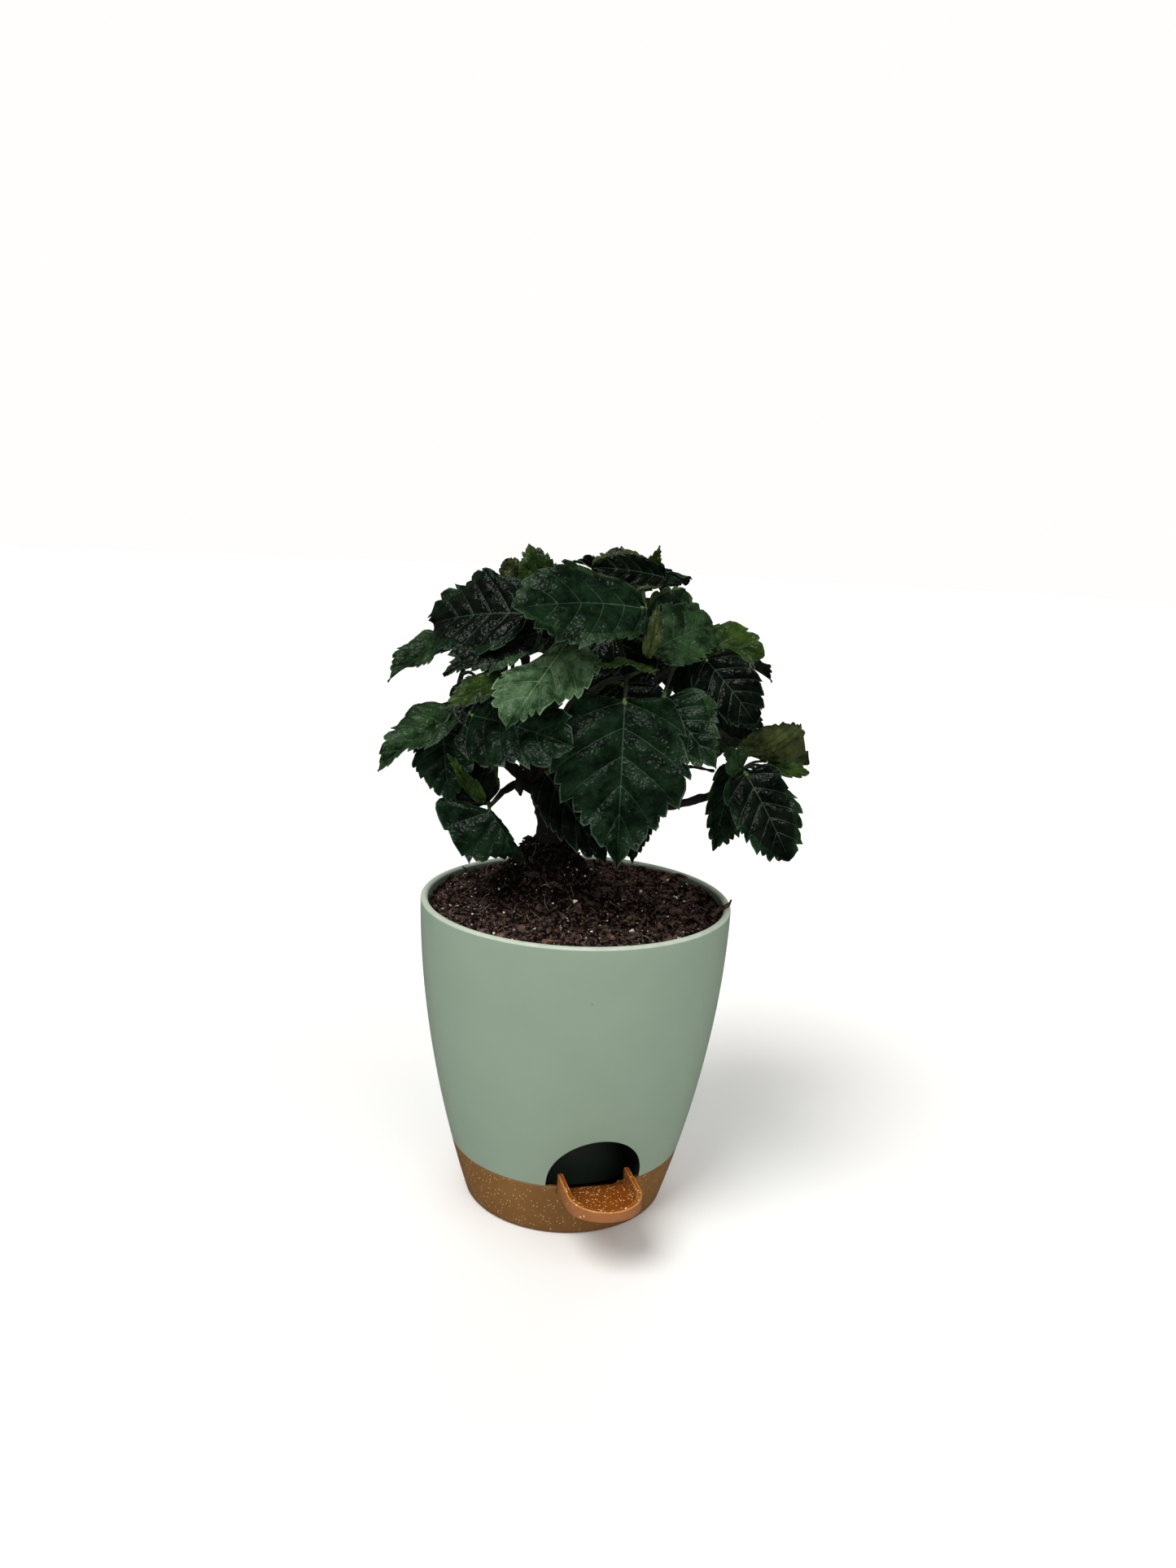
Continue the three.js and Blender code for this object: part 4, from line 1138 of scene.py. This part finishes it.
# %% One blade
def blade(item, draw):
    """Lays a grid out as one leaf, with its own teeth, waves and puckers."""
    bm = bmesh.new()
    along, length, up, side = leaf_frame(item)
    broad = length * max(1, *halves(item["wide"]).values())
    rows = LARGE_ROWS if broad >= LARGE_LEAF else SMALL_ROWS
    keys = ("wide", "rise", "taper", "belly", "waist", "lobe", "fold")
    shape = {key: halves(item[key]) for key in keys}
    rib = RIB_HALF * min(1.0, length / 45)
    gaps = rows[-1][-1] + 1
    single = {way: [int(draw() > TWIN_TEETH) for _ in range(gaps)] for way in (-1, 1)}
    bites = {way: [0.55 + 0.8 * draw() for _ in range(gaps)] for way in (-1, 1)}
    phases = {way: draw() * math.tau for way in (-1, 1)}
    lean = (draw() - 0.5) * 0.06
    grain = draw() * 90
    made = bmesh.ops.create_grid(bm, x_segments=len(ACROSS) - 1, y_segments=len(rows) - 1, size=1)
    place_of = {}
    for vert in made["verts"]:
        column = round((vert.co.x + 1) / 2 * (len(ACROSS) - 1))
        row = round((vert.co.y + 1) / 2 * (len(rows) - 1))
        place_of[vert] = (column, row)
        start, end, out, forward, vein_side, bulge, gap = rows[row]
        s = abs(ACROSS[column])
        way = -1 if column < MIDDLE else 1
        end += lean * way * end * (1 - end) * 2
        half = length * shape["wide"][way] / 2
        fold = math.radians(shape["fold"][way])
        width = outline(end, *(shape[key][way] for key in ("rise", "taper", "belly", "waist")))
        edge = half * width * (1 + 0.05 * math.sin(8 * end + phases[way]))
        edge = max(edge, rib * 0.5 * (1 - end))
        bite = max(0.0, (s - 0.7) / 0.3) ** 2 * TOOTH_SHARE * (length / 2 + half) * bites[way][gap]
        bite *= min(1.0, end * 2.5 + 0.2) * min(1.0, edge / (half * 0.35))
        x = max(s * edge + bite * out[single[way][gap]] * 0.62, rib * (1 - 0.8 * start))
        back = shape["lobe"][way] * math.sin(math.pi * min(1, end / 0.3))
        margin = (end - back) * length
        y = start * length + (margin - start * length) * s ** 1.2 + bite * forward
        y += vein_side * VEIN_HALF * (1 - 0.65 * s) * min(1.0, length / 40)
        t = y / length
        lift = item["arch"] * length * 4 * t * (1 - t)
        lift += math.sin(fold) * (x - FOLD_EASE * x * x / half)
        lift += item["wave"] * length * s * s * math.sin(phases[way] + 12 * t)
        swell = item["ribs"] * SWELL_SHARE * bulge * math.sin(math.pi * min(1, s * 1.05))
        lift += swell * length * (1 - 0.6 * t)
        pucker = noise.noise(Vector((x * way / 4, y / 4, grain)))
        lift += PUCKER_SHARE * length * pucker * (0.3 + 0.7 * bulge) * min(1, 4 * s)
        lift -= VEIN_SINK if vein_side or s == 0 else 0
        vert.co = item["start"] + along * y + side * (x * way * math.cos(fold)) + up * lift
    colour_blade(bm, item, rows, place_of)
    return bm


# %% [markdown]
# ## Stalks
# A stalk carries each blade and ends in a pale swollen joint, which turns the leaf to the
# light. It is one more tube. A plain cylinder would poke through the blade or leave a gap,
# so this one leaves the shoot at its nearest place, rises a little on the way, and runs on
# for a short way under the midrib.

# %% Stalks
STALK_RADIUS = 1.05
JOINT_FROM = 0.86  # the share of a stalk where its pale joint starts
stalk_green = rough_matter("leaf_stalk", "#141f10", "#2e3d22", 6, 0.5)
stalk_joint = rough_matter("leaf_joint", "#43602c", "#6a8440", 3, 0.45)


def add_stalk(bm, item, line):
    """A stalk from the shoot to the blade's foot, with the pale swollen joint at its end."""
    along, length, up, _ = leaf_frame(item)
    foot = item["start"]
    tries = [along_line(line, 0.12 + 0.85 * i / 24)[0] for i in range(25)]
    root = min(tries, key=lambda spot: (spot - foot).length)
    rise = (root + foot) / 2 + Vector((0, 0, 0.12 * (foot - root).length))
    inward = foot + along * length * 0.03 + up * (item["arch"] * length * 0.12 - 0.5)
    path = catmull_rom([root, rise, foot - up * 0.35, inward], 24)
    slim = min(1.0, 0.45 + length / 70)

    def radius(t):
        joint = 0.55 * math.exp(-(((t - 0.93) / 0.06) ** 2))
        return STALK_RADIUS * slim * (1 - 0.3 * t + joint)

    tube(bm, path, radius, sides=8, steps=12, material_at=lambda t: 1 if t > JOINT_FROM else 0)


# %% [markdown]
# ## Where each leaf stands
# The leaves that the photograph shows are set one by one, by where the blade's foot and tip
# stand in the plant's frame: x to the right, -y towards the camera. The rest of the crown
# follows the plant's habit: a leaf at each node, swung to one side or the other by the
# golden ratio, and drooping outwards. That rule and most of its numbers are the source's
# own, with a few more leaves in the masses at the back.

# %% The rule of habit
CROWN_HEART = Vector((0, 2, 212))
GREENS = ("deep", "leaf", "shade", "leaf", "fresh")  # dealt out in turn along a shoot
GOLDEN_RATIO = 0.618034
FIRST_NODE, LAST_NODE = 0.25, 0.98  # shares of the shoot


def habit_leaves(line, count, facing, fan, size, seed, droop):
    """Leaves along a shoot that spread by a fan round the bearing it faces, in degrees."""
    draw = seeded(seed)
    made = []
    for i in range(count):
        t = FIRST_NODE + (LAST_NODE - FIRST_NODE) * i / max(1, count - 1)
        swing = (i * GOLDEN_RATIO) % 1 * 2 - 1
        bearing = math.radians(facing + swing * fan + (draw() - 0.5) * 16)
        out = Vector((math.cos(bearing), math.sin(bearing), 0))
        stalk = size * (0.28 + 0.14 * draw())
        foot = along_line(line, t)[0] + out * stalk
        foot.z += stalk * (0.35 + 0.3 * draw())
        fall = math.radians(droop * (0.6 + 0.8 * draw()) - 25 * t)
        length = size * (0.82 + 0.3 * draw())
        tip = foot + out * length * math.cos(fall)
        tip.z -= length * math.sin(fall)
        looks = ((foot + tip) / 2 - CROWN_HEART).normalized() + Vector((0, 0, 0.35))
        wide = 0.76 + 0.12 * draw()
        made.append(leaf(foot, tip, GREENS[i % len(GREENS)], wide, looks=looks))
    return made


# %% The masses of foliage
FOLIAGE = {
    "foliage_crown": {
        "bough": "bough_leader",
        "bends": [(19, -2, 270), (22, -4, 281)],
        "leaves": [
            leaf(
                (22, -32, 274), (-30, -58, 273), "deep", (0.74, 0.62), 0.95, looks=(0, -0.8, 0.6),
                rise=(0.6, 0.95), belly=(1.9, 1.6), rim="leaf",
            ),
            leaf(
                (31, -9, 286), (0, -17, 289), "shade", 0.52, 0.6, looks=(0, -1, 0.5),
                rim="olive", ribs=2,
            ),
            leaf((17, 4, 281), (5, 9, 294), "shade", 1.15, 0.6, looks=(0, -1, 0.3)),
            leaf((13, -6, 283), (-8, -15, 291), "shade", 0.6, looks=(0.2, -0.6, 0.8), fold=48),
            leaf((24, -3, 284), (34, -6, 289), "shade", 0.55, looks=(0, -0.6, 0.8), fold=40),
            leaf((18, 2, 280), (31, 6, 288), "shade", 0.7, 0.7, looks=(0, -0.8, 0.6)),
            leaf((12, 18, 262), (12, 20, 226), "shade", 1.05, looks=(0, -1, 0.3)),
            leaf((24, -7, 286), (28, -11, 299), "young", 0.42, looks=(0.3, -1, 0)),
            leaf((28, -5, 285), (39, -7, 284), "deep", 0.42, looks=(0, -0.8, 0.6)),
            leaf((22, 12, 266), (27, 16, 236), "deep", 0.9, looks=(0, 1, 0.4)),
            leaf((6, 12, 264), (-8, 17, 238), "leaf", 0.9, looks=(0, 1, 0.4)),
        ],
        "habit": {"count": 3, "facing": 115, "fan": 60, "size": 34, "seed": 21, "droop": 50},
    },
    "foliage_left_top": {
        "bough": "bough_left_top",
        "bends": [(-29, -6, 268), (-27, -5, 279)],
        "leaves": [
            leaf((-20, -10, 279), (-27, -8, 297), "young", 0.85, looks=(0, -1, 0.2)),
            leaf((-30, 5, 279), (-38, 7, 289.5), "olive", 0.9, 0.7, looks=(0, -1, 0.2)),
            leaf(
                (-24, -34, 270), (-67, -5, 261.5), "shade", (0.76, 0.7), 0.7,
                looks=(-0.3, -1, 0.6), rim="deep",
            ),
            leaf((-20, -26, 262), (-58, -36, 243), "shade", 0.6, looks=(0, -0.6, 0.8), rim="leaf"),
            leaf(
                (-7, -38, 261), (-29.5, -66, 228), "fresh", (0.66, 0.56), (1.5, 1.4), 0.03, wave=0.04,
                lobe=0.1, rise=(0.5, 2), belly=(1.2, 2.5), waist=0.1, fold=4, ribs=1.7,
            ),
            leaf((-24, 8, 278), (-28, 6, 248), "shade", 1.0, looks=(0, -1, 0.3)),
            leaf((-31, -38, 244), (-55, -54, 232), "young", 0.5, looks=(0, -0.6, 0.8)),
        ],
    },
    "foliage_left": {
        "bough": "bough_left",
        "bends": [(-55, -4, 236), (-52, -2, 247)],
        "leaves": [
            leaf((-60, 0, 252.5), (-85.5, -10, 236.5), "leaf", 0.8, looks=(-0.3, -0.6, 0.8), fold=42),
            leaf((-54, -12, 222), (-87.5, -20, 199), "leaf", 0.8, looks=(-0.3, -0.6, 0.8), fold=42),
            leaf((-60, 4, 219), (-76, 0, 207), "deep", 0.6),
            leaf((-60, -18, 217), (-56, -22, 187), "deep", 0.88),
            leaf((-47, -27, 226), (-3, -61, 221), "deep", 0.7, 0.9),
            leaf((-46, -16, 240), (-40, -26, 214), "shade", 0.9),
            leaf((-60, 6, 222), (-72, 26, 204), "deep", 0.85, looks=(-0.7, 0.4, 0.7)),
            leaf((-50, 8, 253), (-46, 40, 246), "leaf", 0.8, looks=(-0.2, 0.6, 0.8)),
            leaf((-56, 8, 226), (-60, 32, 202), "leaf", 0.8, looks=(-0.4, 1, 0.5)),
        ],
        "habit": {"count": 2, "facing": 75, "fan": 20, "size": 30, "seed": 33, "droop": 45},
    },
    "foliage_low_left": {
        "bough": "bough_low_left",
        "bends": [(-37, -20, 188), (-39, -23, 186)],
        "leaves": [
            leaf(
                (-38.5, -26, 185.5), (-22, -31, 164), "deep", (0.2, 1.5), (1.2, 2.3), 0.04,
                (0, -1, 0.05), rise=(0.6, 1), belly=(1.4, 1), lobe=(0, 0.75), fold=(-50, 6), ribs=2,
            ),
            leaf((-41, -22, 188), (-57, -25, 209), "young", 0.24, looks=(-0.3, -1, 0.2)),
            leaf(
                (-40, -20, 187), (-54, -10, 206), "shade", 0.95, 0.7,
                looks=(-0.2, -1, 0.3), rim="young",
            ),
        ],
    },
    "foliage_front": {
        "bough": "bough_front",
        "bends": [(10, -30, 244), (17, -34, 246)],
        "leaves": [
            leaf(
                (16, -44, 238), (16, -58, 172), "deep", 0.8, 1.5, 0.04, (0, -1, 0.2),
                lobe=0.14, belly=1.8, waist=0.12,
            ),
            leaf((28, -36, 249), (3, -54, 252), "young", 0.3, looks=(0, -0.3, 1)),
            leaf((16, -12, 240), (28, -20, 208), "shade", 0.85),
        ],
    },
    "foliage_low_front": {
        "bough": "bough_low_front",
        "bends": [(4, -17, 205), (8, -18, 213)],
        "leaves": [
            leaf((-15, -22, 202), (12, -40, 168), "shade", (0.75, 0.52)),
            leaf((29, -24, 205), (23, -36, 168), "shade", (0.42, 0.8)),
        ],
    },
    "foliage_right_top": {
        "bough": "bough_right_top",
        "bends": [(42, -8, 254), (46, -10, 260)],
        "leaves": [
            leaf((25, -38, 257), (52, -14, 268), "leaf", (0.76, 0.7), 0.7),
            leaf((24, -41, 255), (27, -38, 277), "olive", 0.34, looks=(0.4, -1, 0), fold=25),
            leaf((28, -10, 262), (41, 4, 280.5), "deep", 0.8, 0.8, rim="olive"),
            leaf((47, -18, 260.5), (74, -20, 256), "young", 0.8, 0.8, looks=(0.2, -0.8, 0.6), ribs=1.5),
            leaf((49, -26, 254), (71, -32, 229), "shade", 0.78, 0.9),
            leaf((52, 2, 255), (73.5, -4, 251), "shade", 0.6),
            leaf((44, 14, 256), (48, 11, 228), "shade", 1.0, looks=(0, -1, 0.3)),
            leaf((32, -34, 237), (54, -50, 213), "deep", 0.8, rim="leaf"),
            leaf((10, -9, 262), (-10, -11, 240), "shade", 0.9),
        ],
        "habit": {"count": 3, "facing": 80, "fan": 40, "size": 36, "seed": 9, "droop": 40},
    },
    "foliage_right": {
        "bough": "bough_right",
        "bends": [(65, -3, 226), (68, -1, 232)],
        "leaves": [
            leaf((64, 0, 231), (79, 2, 222), "deep", 0.7),
            leaf((60, -4, 232), (74, 4, 216), "shade", 0.7),
            leaf((63, 6, 236), (70, 34, 218), "leaf", 0.75, looks=(0.4, 0.6, 0.7)),
            leaf((58, 8, 228), (62, 34, 200), "deep", 0.85, looks=(0.2, 1, 0.5)),
        ],
    },
    "foliage_low_right": {
        "bough": "bough_low_right",
        "bends": [(64, -15, 199), (67, -17, 206)],
        "leaves": [
            leaf(
                (80, -12, 210), (73, -18, 224.5), "olive", (1.1, 2.15), (1, 0.55), 0.05,
                (0, -1, 0.1), rise=(1.2, 0.15), belly=2, lobe=(0, 0.9), fold=(-8, 8), ribs=2.2,
                waist=0,
            ),
            leaf((80, -9, 207), (98, -14, 206), "young", 0.4, 0.8),
            leaf(
                (69, -27, 207), (89, -36, 172.5), "shade", (0.66, 0.74), 0.9,
                lobe=0.12, belly=1.5, waist=0.1, rim="deep",
            ),
            leaf((65, -14, 208), (58.5, -18, 170.5), "deep", (0.8, 0.4), rim="leaf"),
            leaf((67, -24, 208), (58, -32, 219), "leaf", 0.7),
            leaf((78, -2, 204), (94, 8, 184), "leaf", 0.78, looks=(1, 0.2, 0.6)),
        ],
    },
    "foliage_back_left": {
        "bough": "bough_back_left",
        "bends": [(-38, 32, 242), (-34, 28, 258)],
        "leaves": [
            leaf((-30, 33, 253), (-12, 55, 240), "leaf", 0.8, looks=(0.2, 0.6, 0.8)),
            leaf((-40, 35, 250), (-62, 52, 238), "deep", 0.82, looks=(-0.4, 0.6, 0.8)),
            leaf((-36, 25, 262), (-57, 22, 262), "leaf", 0.8, looks=(-0.3, 0.3, 0.9)),
        ],
        "habit": {"count": 10, "facing": 98, "fan": 46, "size": 42, "seed": 71, "droop": 48},
    },
    "foliage_back": {
        "bough": "bough_back",
        "bends": [(2, 40, 250), (6, 34, 268)],
        "habit": {"count": 11, "facing": 88, "fan": 70, "size": 46, "seed": 82, "droop": 42},
    },
    "foliage_back_right": {
        "bough": "bough_back_right",
        "bends": [(40, 34, 238), (38, 30, 254)],
        "habit": {"count": 10, "facing": 66, "fan": 58, "size": 42, "seed": 64, "droop": 46},
    },
    "foliage_back_low": {
        "bough": "bough_back_low",
        "bends": [(4, 38, 202), (5, 39, 209)],
        "habit": {"count": 8, "facing": 90, "fan": 80, "size": 38, "seed": 12, "droop": 66},
    },
}

# %% [markdown]
# ## Growing the foliage
# Each mass starts a hair's breadth past its bough's tip, as a green shoot. A leaf that the
# rule of habit would push through a limb or another leaf is skipped. The blades of a mass
# are one open sheet until Solidify gives them a waxy thickness and their paler underside.

# %% Grow
LEAF_THICKNESS = 0.35
SHOOT_TIP = 0.8

stalks = bmesh.new()
blade_trees = []
draw = seeded(97)
leaf_count = 0
for mass, growth in FOLIAGE.items():
    bough_line = bough_lines[growth["bough"]]
    start = bough_line[-1] + (bough_line[-1] - bough_line[-2]).normalized() * SEAT / 2
    shoot_line = catmull_rom([start, *growth["bends"]])
    thick = BOUGHS[growth["bough"]][2] * 0.95
    tube(stalks, shoot_line, lambda t: thick + (SHOOT_TIP - thick) * t, sides=10, steps=14)
    blades = bmesh.new()
    set_leaves = growth.get("leaves", [])
    habit = habit_leaves(shoot_line, **growth["habit"]) if "habit" in growth else []
    for item in [*set_leaves, *habit]:
        made = blade(item, draw)
        found = BVHTree.FromBMesh(made)
        by_habit = item not in set_leaves
        if by_habit and (found.overlap(limb_tree) or any(found.overlap(t) for t in blade_trees)):
            made.free()
            continue
        gather(blades, made)
        blade_trees.append(found)
        add_stalk(stalks, item, shoot_line)
        leaf_count += 1
    bmesh.ops.transform(blades, matrix=plant_frame, verts=blades.verts)
    piece = new_piece(mass.replace("foliage", "leaves"), blades, leaf_materials, [mass], 0)
    skin = piece.modifiers.new("wax", "SOLIDIFY")
    skin.thickness = LEAF_THICKNESS * MM
    skin.offset = -1
    skin.material_offset = UNDERSIDE_SLOT
bmesh.ops.transform(stalks, matrix=plant_frame, verts=stalks.verts)
new_piece("stalks_and_shoots", stalks, [stalk_green, stalk_joint], (), 0)
print("leaves:", leaf_count)
